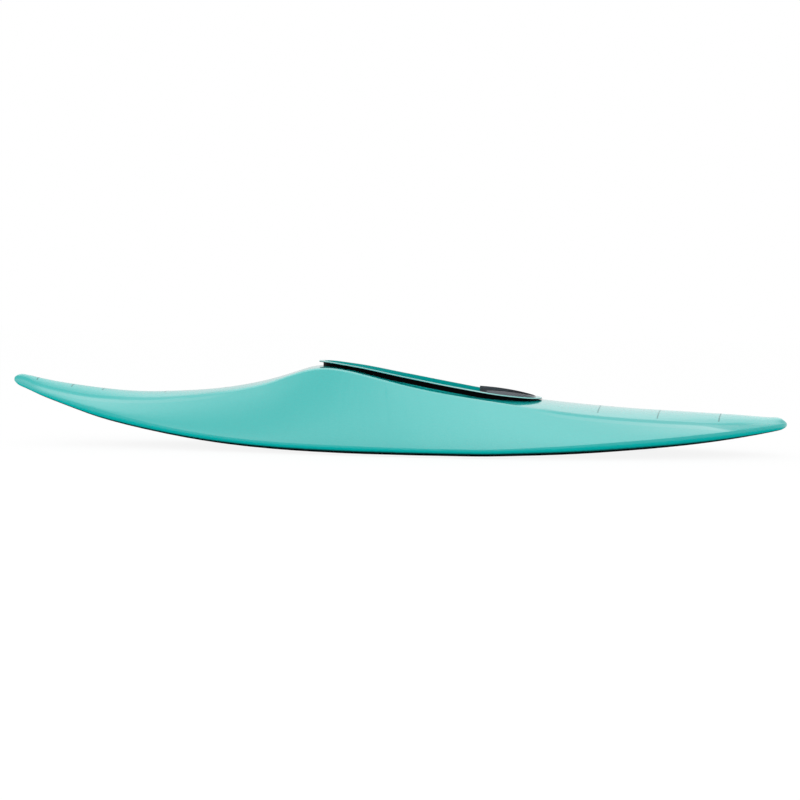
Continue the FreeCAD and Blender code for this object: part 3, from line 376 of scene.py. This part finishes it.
def add_world():
    """White to the camera, a nearly even sky to dull surfaces and a soft box to shiny ones."""
    world = bpy.data.worlds.new("studio")
    world.use_nodes = True
    scene.world = world
    n = Nodes(world.node_tree)
    background = world.node_tree.nodes["Background"]
    background.inputs["Color"].default_value = WHITE
    x, y, z = n.split(n.add("ShaderNodeTexCoord").outputs["Generated"])
    height = n.math("MAXIMUM", z, 0.0)
    across = n.math("MULTIPLY_ADD", y, 0.5, 0.5)
    ends = []
    for shares in (BOW_SKY_SHARES, STERN_SKY_SHARES):
        ends.append(n.curve(across, [(place, level / SKY_TOP) for place, level in shares]))
    astern = n.smooth(x, SKY_BOW_END, SKY_STERN_END)
    sky = n.math("MULTIPLY", n.mix_value(astern, ends[0], ends[1]), SKY_TOP)
    lengthwise = n.smooth(n.math("ABSOLUTE", x), *SKY_END_FADE)
    sky = n.mix_value(lengthwise, sky, SKY_END_LEVEL)
    soft = n.math("MULTIPLY_ADD", height, DIFFUSE_SKY_RISE, DIFFUSE_SKY_LEVEL)
    path = n.add("ShaderNodeLightPath")
    lit = n.mix_value(path.outputs["Is Diffuse Ray"], sky, soft)
    strength = n.mix_value(path.outputs["Is Camera Ray"], lit, 1.0)
    n.link(strength, background.inputs["Strength"])


def add_key_light():
    data = bpy.data.lights.new("key", "AREA")
    data.shape = "RECTANGLE"
    data.size = KEY_WIDTH
    data.size_y = KEY_HEIGHT
    data.energy = KEY_POWER
    light = bpy.data.objects.new("key", data)
    scene.collection.objects.link(light)
    light.location = KEY_PLACE
    light.rotation_euler = (Vector(KEY_AIM) - Vector(KEY_PLACE)).to_track_quat("-Z", "Y").to_euler()
    light.visible_glossy = False


def add_floor():
    mesh = bpy.data.meshes.new("floor")
    corners = [
        (-FLOOR_REACH, -FLOOR_REACH, 0.0), (FLOOR_REACH, -FLOOR_REACH, 0.0),
        (FLOOR_REACH, FLOOR_REACH, 0.0), (-FLOOR_REACH, FLOOR_REACH, 0.0),
    ]
    mesh.from_pydata(corners, [], [(0, 1, 2, 3)])
    floor = bpy.data.objects.new("floor", mesh)
    scene.collection.objects.link(floor)
    material, n, shader = new_material("floor")
    shader.inputs["Base Color"].default_value = FLOOR_COLOUR
    shader.inputs["Roughness"].default_value = 0.9
    shader.inputs["Specular IOR Level"].default_value = 0.0
    glow = n.add("ShaderNodeEmission")
    glow.inputs["Color"].default_value = WHITE
    glow.inputs["Strength"].default_value = FLOOR_GLOW_LEVEL
    mixed = n.add("ShaderNodeMixShader")
    n.link(n.math("MULTIPLY", is_seen_ray(n), FLOOR_GLOW_SHARE), mixed.inputs[0])
    n.link(shader.outputs[0], mixed.inputs[1])
    n.link(glow.outputs[0], mixed.inputs[2])
    n.link(mixed.outputs[0], material.node_tree.nodes["Material Output"].inputs["Surface"])
    mesh.materials.append(material)


# Materials of the hard pieces

def paint(names, material):
    """Puts a material on nodes of the CAD frame."""
    for name in names:
        if nodes[name].data.materials:
            nodes[name].material_slots[0].material = material
        else:
            nodes[name].data.materials.append(material)


def twill(n, cell):
    """1 where a warp thread lies on top of a two by two twill, 0 where a weft thread does."""
    x, y, z = n.place_parts()
    across = n.math("FLOOR", n.math("DIVIDE", x, cell))
    up = n.math("FLOOR", n.math("DIVIDE", n.math("ADD", z, y), cell))
    step = n.math("FLOORED_MODULO", n.math("SUBTRACT", across, up), TWILL_REPEAT)
    return n.math("LESS_THAN", step, TWILL_WARP_STEPS)


def inside_mask(n):
    """1 on faces that look towards the middle of the boat."""
    x, y, z = n.place_parts()
    facing = n.facing_parts()
    sideways = n.math("MULTIPLY", facing[1], y)
    upwards = n.math("MULTIPLY", facing[2], n.math("SUBTRACT", z, n.height_at(x, CORE_SHARES)))
    return n.math("LESS_THAN", n.math("ADD", sideways, upwards), 0.0)


def gelcoat(name):
    """Polished teal gelcoat, with its colour not linked yet."""
    material, n, shader = new_material(name)
    cloudy = n.noise(scale=2.2, detail=3.0)
    colour = n.mix_colour(cloudy, shaded(TEAL, share=0.94), TEAL)
    fine = n.noise(scale=900.0, detail=1.0)
    n.link(n.mix_value(fine, *GELCOAT_ROUGHNESS), shader.inputs["Roughness"])
    waves = n.bump(n.noise(scale=70.0), strength=0.05, distance=0.0006)
    n.link(waves, shader.inputs["Coat Normal"])
    shader.inputs["Coat Weight"].default_value = 1.0
    shader.inputs["Coat Roughness"].default_value = 0.06
    shader.inputs["Coat IOR"].default_value = 1.68
    shader.inputs["Specular IOR Level"].default_value = 0.5
    return material, n, shader, colour


def link_shell_colour(n, shader, outside):
    """The outside's colour on a shell's outer face, and bare laminate on its inner face."""
    laminate = n.mix_colour(twill(n, LAMINATE_CELL), CARBON_DARK, CARBON_LIGHT)
    n.link(n.mix_colour(inside_mask(n), outside, laminate), shader.inputs["Base Color"])


def deck_material():
    """Gelcoat with fine lines across it, and painted shade and a painted highlight along its side edge
    at the ends.
    """
    material, n, shader, colour = gelcoat("teal_deck")
    x, y, z = n.place_parts()
    lines = 0.0
    sideways = n.math("ABSOLUTE", y)
    for place, slant, reach in DECK_LINES:
        ahead = n.math("ADD", x, n.math("MULTIPLY", sideways, slant))
        away = n.math("ABSOLUTE", n.math("SUBTRACT", ahead, place))
        line = n.math("LESS_THAN", away, DECK_LINE_WIDTH / 2)
        lines = n.math("ADD", n.math("MULTIPLY", line, n.math("LESS_THAN", sideways, reach)), lines)
    above = n.math("SUBTRACT", z, n.height_at(x, CREASE_SHARES))
    on_deck = n.math("MULTIPLY", lines, n.smooth(above, 0.0, DECK_LINE_WIDTH / 2))
    colour = n.mix_colour(n.math("MULTIPLY", on_deck, DECK_LINE_SHARE), colour, TEAL_LINE)
    # Painted shade: the coat is taken off along the side edge at both ends, so a dark line shows there
    bow_end = n.math("SUBTRACT", 1.0, n.smooth(x, *EDGE_BOW_FADE))
    stern_end = n.smooth(x, *EDGE_STERN_FADE)
    tip = n.smooth(x, *EDGE_TIP_FADE)
    stern = n.math("MULTIPLY", stern_end, EDGE_STERN_SHARE)
    edge_shade_share = n.math("MULTIPLY_ADD", bow_end, EDGE_BOW_SHARE, n.mix_value(tip, stern, 1.0))
    wider = n.math("MULTIPLY_ADD", tip, EDGE_TIP_WIDER, 1.0)
    away = n.math("DIVIDE", n.math("ABSOLUTE", above), wider)
    edge_shade_line = n.math("SUBTRACT", 1.0, n.smooth(away, *EDGE_LINE_REACH))
    dull_lines = n.math("MULTIPLY", on_deck, DECK_LINE_DULL_SHARE)
    dull_shade_and_lines = n.math("MULTIPLY_ADD", edge_shade_line, edge_shade_share, dull_lines)
    n.link(n.math("SUBTRACT", 1.0, dull_shade_and_lines, clamp=True), shader.inputs["Coat Weight"])
    # Painted highlight: a line just below that edge, mixed towards white at both ends
    below = n.math("ABSOLUTE", n.math("ADD", above, EDGE_HIGHLIGHT_DROP))
    highlight_ends = n.math("SUBTRACT", n.math("ADD", bow_end, stern_end), tip)
    glow = n.math("SUBTRACT", highlight_ends, n.smooth(below, *EDGE_LINE_REACH), clamp=True)
    colour = n.mix_colour(n.math("MULTIPLY", glow, EDGE_HIGHLIGHT_SHARE), colour, WHITE)
    link_shell_colour(n, shader, colour)
    return material


def hull_material():
    """Gelcoat that turns to dull black on the bottom."""
    material, n, shader, colour = gelcoat("teal_hull_black_bottom")
    downward = n.math("MULTIPLY", n.facing_parts()[2], -1.0)
    colour = n.mix_colour(n.smooth(downward, *BLACK_BOTTOM_FADE), colour, PAINT_BLACK)
    shine = n.math("SUBTRACT", 1.0, n.smooth(downward, *BOTTOM_SHINE_FADE))
    n.link(shine, shader.inputs["Coat Weight"])
    shader.inputs["Specular IOR Level"].default_value = 0.0
    link_shell_colour(n, shader, colour)
    return material


def rim_material():
    """Gelcoat that shines on the lip, with a painted highlight on the lip's outer edge towards the
    stern.
    """
    material, n, shader, colour = gelcoat("teal_rim")
    x, y, z = n.place_parts()
    outward = n.math("MULTIPLY", n.math("SIGN", y), n.facing_parts()[1])
    above_lip = n.math("SUBTRACT", z, n.height_at(x, LIP_SHARES))
    near_lip = n.smooth(above_lip, *LIP_SHINE_REACH)
    shine = n.math("MULTIPLY", n.smooth(outward, *RIM_SHINE_TILT), near_lip)
    n.link(n.math("MAXIMUM", shine, RIM_WALL_SHINE), shader.inputs["Coat Weight"])
    # Painted highlight: the lip's outer edge is mixed towards pale, more so towards the stern
    edge = n.math("MULTIPLY", n.smooth(outward, *LIP_HIGHLIGHT_TILT), near_lip)
    lip_highlight = n.math("MULTIPLY", n.math("MULTIPLY", edge, n.smooth(x, *LIP_HIGHLIGHT_FADE)), LIP_HIGHLIGHT_SHARE)
    n.link(n.mix_colour(lip_highlight, colour, LIP_HIGHLIGHT_PALE), shader.inputs["Base Color"])
    shader.inputs["Specular IOR Level"].default_value = 0.0
    shader.inputs["Coat IOR"].default_value = RIM_COAT_IOR
    return material


def carbon_material():
    """Twill under clear resin."""
    material, n, shader = new_material("carbon_twill")
    weave = twill(n, CARBON_CELL)
    n.link(n.mix_colour(weave, CARBON_DARK, CARBON_LIGHT), shader.inputs["Base Color"])
    n.link(n.mix_value(weave, *CARBON_ROUGHNESS), shader.inputs["Roughness"])
    shader.inputs["Metallic"].default_value = 0.8
    shader.inputs["Coat Weight"].default_value = 1.0
    shader.inputs["Coat Roughness"].default_value = 0.04
    waves = n.bump(n.noise(scale=40.0), strength=0.06, distance=0.001)
    n.link(waves, shader.inputs["Coat Normal"])
    return material


def band_material():
    """Dull black tape."""
    material, n, shader = new_material("black_neck_tape")
    grain = n.noise(scale=600.0)
    n.link(n.mix_colour(grain, BAND_BLACK, BAND_GREY), shader.inputs["Base Color"])
    shader.inputs["Roughness"].default_value = 0.5
    shader.inputs["Specular IOR Level"].default_value = 0.02
    n.link(n.bump(grain, strength=0.15, distance=0.0004), shader.inputs["Normal"])
    return material


def brushed_metal(name, colour, roughness):
    """Metal with fine drawn lines along the boat."""
    material, n, shader = new_material(name)
    stretch = n.add("ShaderNodeMapping")
    stretch.inputs["Scale"].default_value = DRAWN_STRETCH
    n.link(n.place(), stretch.inputs["Vector"])
    drawn = n.noise(scale=1.0, detail=3.0, vector=stretch.outputs[0])
    n.link(n.mix_colour(drawn, shaded(colour, share=0.8), colour), shader.inputs["Base Color"])
    shader.inputs["Metallic"].default_value = 1.0
    uneven = n.mix_value(drawn, roughness - DRAWN_FALL, roughness + DRAWN_RISE)
    n.link(uneven, shader.inputs["Roughness"])
    n.link(n.bump(drawn, strength=0.12, distance=0.0002), shader.inputs["Normal"])
    return material


def plastic_material():
    """Moulded plastic with a fine grain."""
    material, n, shader = new_material("knob_plastic")
    cloudy = n.noise(scale=30.0)
    light = shaded(KNOB_BLACK, share=1.7)
    n.link(n.mix_colour(cloudy, KNOB_BLACK, light), shader.inputs["Base Color"])
    shader.inputs["Roughness"].default_value = 0.55
    n.link(n.bump(n.noise(scale=1500.0), strength=0.3, distance=0.0003), shader.inputs["Normal"])
    return material


# Materials of the soft pieces

def foam_material(name, dark, pores):
    """Closed-cell foam: a fine pebbled skin with a slight change of tone."""
    material, n, shader = new_material(name)
    pebbles = n.add("ShaderNodeTexVoronoi")
    pebbles.inputs["Scale"].default_value = pores
    n.link(n.place(), pebbles.inputs["Vector"])
    cloudy = n.noise(scale=18.0, detail=3.0)
    n.link(n.mix_colour(cloudy, dark, shaded(dark, share=1.6)), shader.inputs["Base Color"])
    n.link(n.mix_value(n.noise(scale=60.0), *FOAM_ROUGHNESS), shader.inputs["Roughness"])
    skin = n.bump(pebbles.outputs["Distance"], strength=0.35, distance=0.0006)
    n.link(skin, shader.inputs["Normal"])
    shader.inputs["Specular IOR Level"].default_value = 0.25
    return material


def film_material():
    """Welded bag film: light passes a little way into it, and it has soft creases, with painted shade
    in their hollows.
    """
    material, n, shader = new_material("bag_film")
    creases = n.noise(scale=22.0, detail=4.0)
    dark = shaded(FILM_GREY, share=0.86)
    # Painted shade: the colour is darker where the creases' bump sinks in
    n.link(n.mix_colour(creases, dark, FILM_GREY), shader.inputs["Base Color"])
    n.link(n.mix_value(n.noise(scale=120.0), *FILM_ROUGHNESS), shader.inputs["Roughness"])
    n.link(n.bump(creases, strength=0.3, distance=0.004), shader.inputs["Normal"])
    shader.inputs["Subsurface Weight"].default_value = 0.15
    shader.inputs["Subsurface Scale"].default_value = 0.01
    return material


def cover_material():
    """Coarse woven fabric cover."""
    material, n, shader = new_material("woven_cover")
    weave = twill(n, COVER_CELL)
    n.link(n.mix_colour(weave, WEBBING_BLACK, FOAM_BLACK), shader.inputs["Base Color"])
    shader.inputs["Roughness"].default_value = 0.85
    shader.inputs["Sheen Weight"].default_value = 0.25
    shader.inputs["Sheen Roughness"].default_value = 0.4
    shader.inputs["Specular IOR Level"].default_value = 0.2
    fuzz = n.noise(scale=900.0, detail=1.0)
    height = n.math("ADD", n.math("MULTIPLY", weave, COVER_WEAVE_SHARE), fuzz)
    n.link(n.bump(height, strength=0.4, distance=0.0004), shader.inputs["Normal"])
    return material


def tape_material(name, colour, cell):
    """Flat woven tape with ribs across it."""
    material, n, shader = new_material(name)
    weave = twill(n, cell)
    n.link(n.mix_colour(weave, colour, shaded(colour, share=1.8)), shader.inputs["Base Color"])
    shader.inputs["Roughness"].default_value = 0.7
    n.link(n.bump(weave, strength=0.35, distance=0.0003), shader.inputs["Normal"])
    return material


def thread_material():
    """Twisted sewing thread."""
    material, n, shader = new_material("thread")
    twist = n.noise(scale=3000.0, detail=1.0)
    dark = shaded(THREAD_TEAL, share=0.6)
    n.link(n.mix_colour(twist, dark, THREAD_TEAL), shader.inputs["Base Color"])
    shader.inputs["Roughness"].default_value = 0.6
    return material


# Building meshes

def dress(piece, material, body):
    """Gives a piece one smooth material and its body."""
    piece.data.materials.clear()
    piece.data.materials.append(material)
    for polygon in piece.data.polygons:
        polygon.material_index = 0
        polygon.use_smooth = True
    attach(piece, body)


def link_piece(name, work, material, body):
    """Ends a mesh in work and makes it a piece of the scene."""
    mesh = bpy.data.meshes.new(name)
    work.to_mesh(mesh)
    work.free()
    piece = bpy.data.objects.new(name, mesh)
    scene.collection.objects.link(piece)
    dress(piece, material, body)


def tree_of(mesh):
    return BVHTree.FromPolygons([v.co for v in mesh.vertices], [p.vertices for p in mesh.polygons])


def add_ring(work, middle, side, up, radius, corners):
    """Points round a middle, in the plane of two directions."""
    ring = []
    for corner in range(corners):
        turn = math.tau * corner / corners
        out = side * math.cos(turn) + up * math.sin(turn)
        ring.append(work.verts.new(middle + out * radius))
    return ring


def join_rings(work, rings, closed=False):
    """Faces from each ring to the next, and either back to the first or over both ends."""
    corners = len(rings[0])
    following = rings[1:] + rings[:1] if closed else rings[1:]
    for here, after in zip(rings, following):
        for a in range(corners):
            b = (a + 1) % corners
            work.faces.new((here[a], here[b], after[b], after[a]))
    if not closed:
        work.faces.new(list(reversed(rings[0])))
        work.faces.new(rings[-1])


def add_stitch(work, start, end):
    """A short closed rod with drawn-in ends."""
    along = (end - start).normalized()
    side = along.orthogonal().normalized()
    up = along.cross(side)
    rings = []
    for share, scale in STITCH_RINGS:
        middle = start.lerp(end, share)
        rings.append(add_ring(work, middle, side, up, STITCH_RADIUS * scale, STITCH_CORNERS))
    join_rings(work, rings)


def joined_groups(work):
    """The points of a mesh, in the groups that its edges join."""
    loose = set(work.verts)
    groups = []
    while loose:
        group, front = set(), [loose.pop()]
        while front:
            vert = front.pop()
            group.add(vert)
            for edge in vert.link_edges:
                other = edge.other_vert(vert)
                if other in loose:
                    loose.discard(other)
                    front.append(other)
        groups.append(group)
    return groups


def span_of(group):
    """Lowest and highest place of a group of points on each axis."""
    places = [[vert.co[i] for vert in group] for i in range(3)]
    return [(min(place), max(place)) for place in places]


def outer_skin(node):
    """A copy of a node's mesh without the inner wall of a hollow film."""
    source = nodes[node]
    work = bmesh.new()
    work.from_mesh(source.data)
    bmesh.ops.transform(work, matrix=source.matrix_world, verts=work.verts)
    bmesh.ops.remove_doubles(work, verts=work.verts, dist=WELD_REACH)
    groups = joined_groups(work)
    spans = [span_of(group) for group in groups]
    inner = set()
    for i, span in enumerate(spans):
        for j, other in enumerate(spans):
            if i != j and all(b[0] < a[0] and a[1] < b[1] for a, b in zip(span, other)):
                inner |= groups[i]
    bmesh.ops.delete(work, geom=list(inner), context="VERTS")
    mesh = bpy.data.meshes.new(node + "_skin")
    work.to_mesh(mesh)
    work.free()
    return mesh


# Soft pieces

def settle_modifiers(piece):
    """Makes what the modifiers give the piece's own mesh."""
    graph = bpy.context.evaluated_depsgraph_get()
    mesh = bpy.data.meshes.new_from_object(piece.evaluated_get(graph))
    before = piece.data
    piece.modifiers.clear()
    piece.data = mesh
    bpy.data.meshes.remove(before)


def swell(piece, most):
    """Fills the piece with air for a few frames; no point moves further than the most."""
    start = [vert.co.copy() for vert in piece.data.vertices]
    cloth = piece.modifiers.new("swell", "CLOTH")
    cloth.settings.use_pressure = True
    cloth.settings.uniform_pressure_force = CLOTH_PRESSURE
    cloth.settings.effector_weights.gravity = 0.0
    cloth.point_cache.frame_end = CLOTH_FRAMES
    for step in range(1, CLOTH_FRAMES + 1):
        scene.frame_set(step)
    settle_modifiers(piece)
    scene.frame_set(1)
    for vert, before in zip(piece.data.vertices, start):
        move = vert.co - before
        if move.length > most:
            vert.co = before + move * (most / move.length)


def keep_inside(piece, tree):
    """Moves points that stand outside the CAD solid back under its surface."""
    for vert in piece.data.vertices:
        place, facing, _, _ = tree.find_nearest(vert.co)
        if (vert.co - place).dot(facing) > -SKIN_CLEARANCE:
            vert.co = place - facing * SKIN_CLEARANCE


def press_channels(piece, axis, places, facing):
    """Draws the surface in at some places along an axis, on faces that look along or against a way."""
    normals = [vert.normal.copy() for vert in piece.data.vertices]
    for vert, normal in zip(piece.data.vertices, normals):
        if abs(normal.dot(facing)) < CHANNEL_LEAST_FACING:
            continue
        for place in places:
            away = abs(vert.co[axis] - place)
            if away < CHANNEL_WIDTH:
                depth = CHANNEL_DEPTH * (1.0 + math.cos(math.pi * away / CHANNEL_WIDTH)) / 2
                vert.co -= normal * depth


def pucker(piece):
    """Small creases of a film that is not quite tight; they only go inwards."""
    normals = [vert.normal.copy() for vert in piece.data.vertices]
    for vert, normal in zip(piece.data.vertices, normals):
        stretched = Vector((vert.co.x * PUCKER_LENGTHWISE, vert.co.y, vert.co.z)) * PUCKER_SCALE
        crease = 1.0 - abs(noise.noise(stretched))
        vert.co -= normal * PUCKER_DEPTH * crease ** PUCKER_SHARPNESS


def soft_piece(name, node, material, body, form, channels=None):
    """A cushion-like piece in the space of a CAD soft solid."""
    cell, set_in, most, fill = form
    skin = outer_skin(node)
    tree = tree_of(skin)
    piece = bpy.data.objects.new(name, skin)
    scene.collection.objects.link(piece)
    remesh = piece.modifiers.new("voxels", "REMESH")
    remesh.mode = "VOXEL"
    remesh.voxel_size = cell
    remesh.use_smooth_shade = True
    settle_modifiers(piece)
    normals = [vert.normal.copy() for vert in piece.data.vertices]
    for vert, facing in zip(piece.data.vertices, normals):
        vert.co -= facing * set_in
    if most:
        swell(piece, most)
    rounding = piece.modifiers.new("rounding", "SMOOTH")
    rounding.factor = ROUNDING_FACTOR
    rounding.iterations = ROUNDING_TURNS
    settle_modifiers(piece)
    keep_inside(piece, tree)
    piece.modifiers.new("subdivision", "SUBSURF").levels = 1
    settle_modifiers(piece)
    if channels:
        press_channels(piece, *channels)
    dress(piece, material, body)
    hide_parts(node)
    return piece


def sew(name, piece, lines, cast, thread, body):
    """Stitches on a cushion, where rays from straight lines meet its surface."""
    tree = tree_of(piece.data)
    work = bmesh.new()
    for start, end in lines:
        length = (end - start).length
        for i in range(int(length / STITCH_PITCH)):
            middle = (i + 0.5) * STITCH_PITCH
            ends = []
            for along in (middle - STITCH_LENGTH / 2, middle + STITCH_LENGTH / 2):
                place, normal, _, _ = tree.ray_cast(start.lerp(end, along / length), cast)
                if place is not None and normal.dot(cast) < -STITCH_LEAST_FACING:
                    ends.append(place + normal * STITCH_RADIUS * STITCH_LIFT_SHARE)
            if len(ends) == 2 and (ends[1] - ends[0]).length < 2 * STITCH_LENGTH:
                add_stitch(work, ends[0], ends[1])
    link_piece(name, work, thread, body)


def pipe_round(name, piece, node, material):
    """A piping cord round a cushion's edge at half its height, just inside its CAD solid."""
    low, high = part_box(node)
    middle = (Vector(low) + Vector(high)) / 2
    tree = tree_of(piece.data)
    centres = []
    for step in range(PIPING_STEPS):
        turn = math.tau * step / PIPING_STEPS
        way = Vector((math.cos(turn), math.sin(turn), 0.0))
        place = tree.ray_cast(middle + way, -way)[0]
        centres.append(place - way * PIPING_RADIUS * PIPING_SUNK_SHARE)
    work = bmesh.new()
    rings = []
    for i, centre in enumerate(centres):
        along = (centres[(i + 1) % PIPING_STEPS] - centres[i - 1]).normalized()
        side = along.cross(UP).normalized()
        rings.append(add_ring(work, centre, side, UP, PIPING_RADIUS, PIPING_CORNERS))
    join_rings(work, rings, closed=True)
    bmesh.ops.recalc_face_normals(work, faces=work.faces)
    link_piece(name, work, material, "boat")


def channel_places(low, high, axis, shares):
    """Places along one axis of a box, from shares of its length."""
    return [low[axis] + (high[axis] - low[axis]) * share for share in shares]


def lines_across(places, low, high, level):
    """Lines from side to side at some places along the boat, all on one level."""
    return [(Vector((x, low[1], level)), Vector((x, high[1], level))) for x in places]


def make_seat_cushion(foam, trim, thread):
    low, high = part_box("seat_pad")
    places = channel_places(low, high, 0, SEAT_CHANNEL_SHARES)
    channels = (0, places, UP)
    piece = soft_piece("seat_cushion", "seat_pad", foam, "boat", SEAT_FORM, channels)
    lines = lines_across(places, low, high, high[2] + CHANNEL_WIDTH)
    sew("seat_cushion_stitches", piece, lines, -UP, thread, "boat")
    pipe_round("seat_cushion_piping", piece, "seat_pad", trim)


def make_hip_cushions(foam, thread):
    for side, way in (("left", -1.0), ("right", 1.0)):
        node = f"hip_pad_{side}"
        low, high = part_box(node)
        places = channel_places(low, high, 0, PAD_CHANNEL_SHARES)
        outward = Vector((0.0, way, 0.0))
        channels = (0, places, outward)
        piece = soft_piece(f"hip_cushion_{side}", node, foam, "boat", HIP_FORM, channels)
        lines = [(Vector((x, 0.0, low[2])), Vector((x, 0.0, high[2]))) for x in places]
        sew(f"hip_cushion_stitches_{side}", piece, lines, outward, thread, "boat")


def make_knee_cushions(foam, thread):
    for side in ("left", "right"):
        node = f"knee_pad_{side}"
        low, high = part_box(node)
        places = channel_places(low, high, 0, SEAT_CHANNEL_SHARES)
        channels = (0, places, UP)
        piece = soft_piece(f"knee_cushion_{side}", node, foam, "boat", KNEE_FORM, channels)
        lines = lines_across(places, low, high, low[2] - CHANNEL_WIDTH)
        sew(f"knee_cushion_stitches_{side}", piece, lines, UP, thread, "boat")


def make_foot_cushions(foam, thread):
    low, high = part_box("footrest_pads")
    places = channel_places(low, high, 2, PAD_CHANNEL_SHARES)
    ahead = Vector((-1.0, 0.0, 0.0))
    channels = (2, places, ahead)
    piece = soft_piece(
        "foot_cushions", "footrest_pads", foam, "footrest", FOOT_FORM, channels,
    )
    start = high[0] + CHANNEL_WIDTH
    lines = [(Vector((start, low[1], z)), Vector((start, high[1], z))) for z in places]
    sew("foot_cushion_stitches", piece, lines, ahead, thread, "footrest")


def make_bags(film):
    for end in ("bow", "stern"):
        for side in ("left", "right"):
            node = f"{end}_airbag_{side}"
            piece = soft_piece(f"{end}_bag_{side}", node, film, "boat", BAG_FORM)
            pucker(piece)


def make_foam_walls(foam):
    walls = (
        ("bow_foam_wall", "bow_pillar"), ("stern_foam_wall", "stern_pillar"),
        ("seat_foam_block", "seat_base_block"),
    )
    for name, node in walls:
        soft_piece(name, node, foam, "boat", WALL_FORM)


# Trim of the back band

def band_point(radius, angle, level):
    return Vector((BAND_CENTRE_X + radius * math.cos(angle), radius * math.sin(angle), level))


def sweep_round_band(name, profile, material):
    """A closed section of radius and level pairs, swept along the back band's arc."""
    work = bmesh.new()
    rings = []
    for step in range(BAND_STEPS + 1):
        angle = BAND_HALF_SWEEP * (2.0 * step / BAND_STEPS - 1.0)
        rings.append([work.verts.new(band_point(radius, angle, level)) for radius, level in profile])
    join_rings(work, rings)
    bmesh.ops.recalc_face_normals(work, faces=work.faces)
    link_piece(name, work, material, "back_rest")


def binding_profile(middle, half, edge, way):
    """A thin cap over one edge of the band: its outer line, and back along its inner line."""
    profile = []
    for thickness in (0.0, BINDING_THICKNESS):
        reach = half - thickness
        crown = edge + way * (SKIN_CLEARANCE + thickness)
        foot = edge + way * BINDING_DROP
        line = [(middle - reach, foot)]
        for step in range(BINDING_STEPS + 1):
            turn = math.pi * step / BINDING_STEPS
            fall = reach * (1.0 - math.sin(turn)) * BINDING_ROUND_SHARE
            line.append((middle - reach * math.cos(turn), crown + way * fall))
        line.append((middle + reach, foot))
        profile += reversed(line) if thickness else line
    return profile


def make_band_trim(binding, webbing, thread):
    low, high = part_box("back_band")
    outer = BAND_OUTER_RADIUS - SKIN_CLEARANCE
    inner = BAND_OUTER_RADIUS - BAND_THICKNESS + SKIN_CLEARANCE
    middle = (outer + inner) / 2
    half = (outer - inner) / 2
    for name, edge, way in (("upper", high[2], -1.0), ("lower", low[2], 1.0)):
        profile = binding_profile(middle, half, edge, way)
        sweep_round_band(f"back_band_binding_{name}", profile, binding)
    level = (low[2] + high[2]) / 2
    strap_in = outer - STRAP_THICKNESS
    strap = [
        (strap_in, level - STRAP_HALF_HEIGHT), (outer, level - STRAP_HALF_HEIGHT),
        (outer, level + STRAP_HALF_HEIGHT), (strap_in, level + STRAP_HALF_HEIGHT),
    ]
    sweep_round_band("back_band_strap", strap, webbing)
    levels = (low[2] + BINDING_DROP - BAND_STITCH_GAP, high[2] - BINDING_DROP + BAND_STITCH_GAP)
    make_band_stitches(inner + BAND_STITCH_LIFT, levels, thread)


def make_band_stitches(radius, levels, thread):
    """Stitches bent to the band's arc, along the inner edge of both bindings."""
    work = bmesh.new()
    count = int(2 * BAND_HALF_SWEEP * radius / STITCH_PITCH)
    half_turn = STITCH_LENGTH / 2 / radius
    for level in levels:
        for i in range(count):
            middle = BAND_HALF_SWEEP * (2.0 * (i + 0.5) / count - 1.0)
            rings = []
            for share, scale in STITCH_RINGS:
                angle = middle + (2.0 * share - 1.0) * half_turn
                place = band_point(radius, angle, level)
                out = Vector((math.cos(angle), math.sin(angle), 0.0))
                rings.append(add_ring(work, place, out, UP, STITCH_RADIUS * scale, STITCH_CORNERS))
            join_rings(work, rings)
    bmesh.ops.recalc_face_normals(work, faces=work.faces)
    link_piece("back_band_stitches", work, thread, "back_rest")


# The scene

add_camera()
add_world()
add_key_light()
add_floor()

paint(["deck_shell"], deck_material())
paint(["hull_shell"], hull_material())
paint(["cockpit_rim"], rim_material())
paint(["rim_neck_band"], band_material())
paint(["seat_shell", "seam_tape_left", "seam_tape_right", "rail_lugs"], carbon_material())

foam = foam_material("black_foam", FOAM_BLACK, PAD_PORES)
binding = tape_material("binding_tape", BINDING_GREY, BINDING_CELL)
thread = thread_material()
make_seat_cushion(foam, binding, thread)
make_hip_cushions(foam, thread)
make_knee_cushions(foam, thread)
make_foot_cushions(foam, thread)
soft_piece("back_band_cover", "back_band", cover_material(), "back_rest", BAND_FORM)
make_band_trim(binding, tape_material("strap_webbing", WEBBING_BLACK, STRAP_CELL), thread)
make_bags(film_material())
make_foam_walls(foam_material("grey_foam", FOAM_GREY, WALL_PORES))

paint(["back_band_bolts", "rail_bolts"], brushed_metal("bolt_steel", STEEL, STEEL_ROUGHNESS))
rails_and_plate = [
    "footrest_rail_left", "footrest_rail_right", "footrest_slider_left", "footrest_slider_right",
    "footrest_plate",
]
paint(rails_and_plate, brushed_metal("dark_anodised", ALUMINIUM_DARK, ALUMINIUM_ROUGHNESS))
paint(["footrest_knob_left", "footrest_knob_right"], plastic_material())
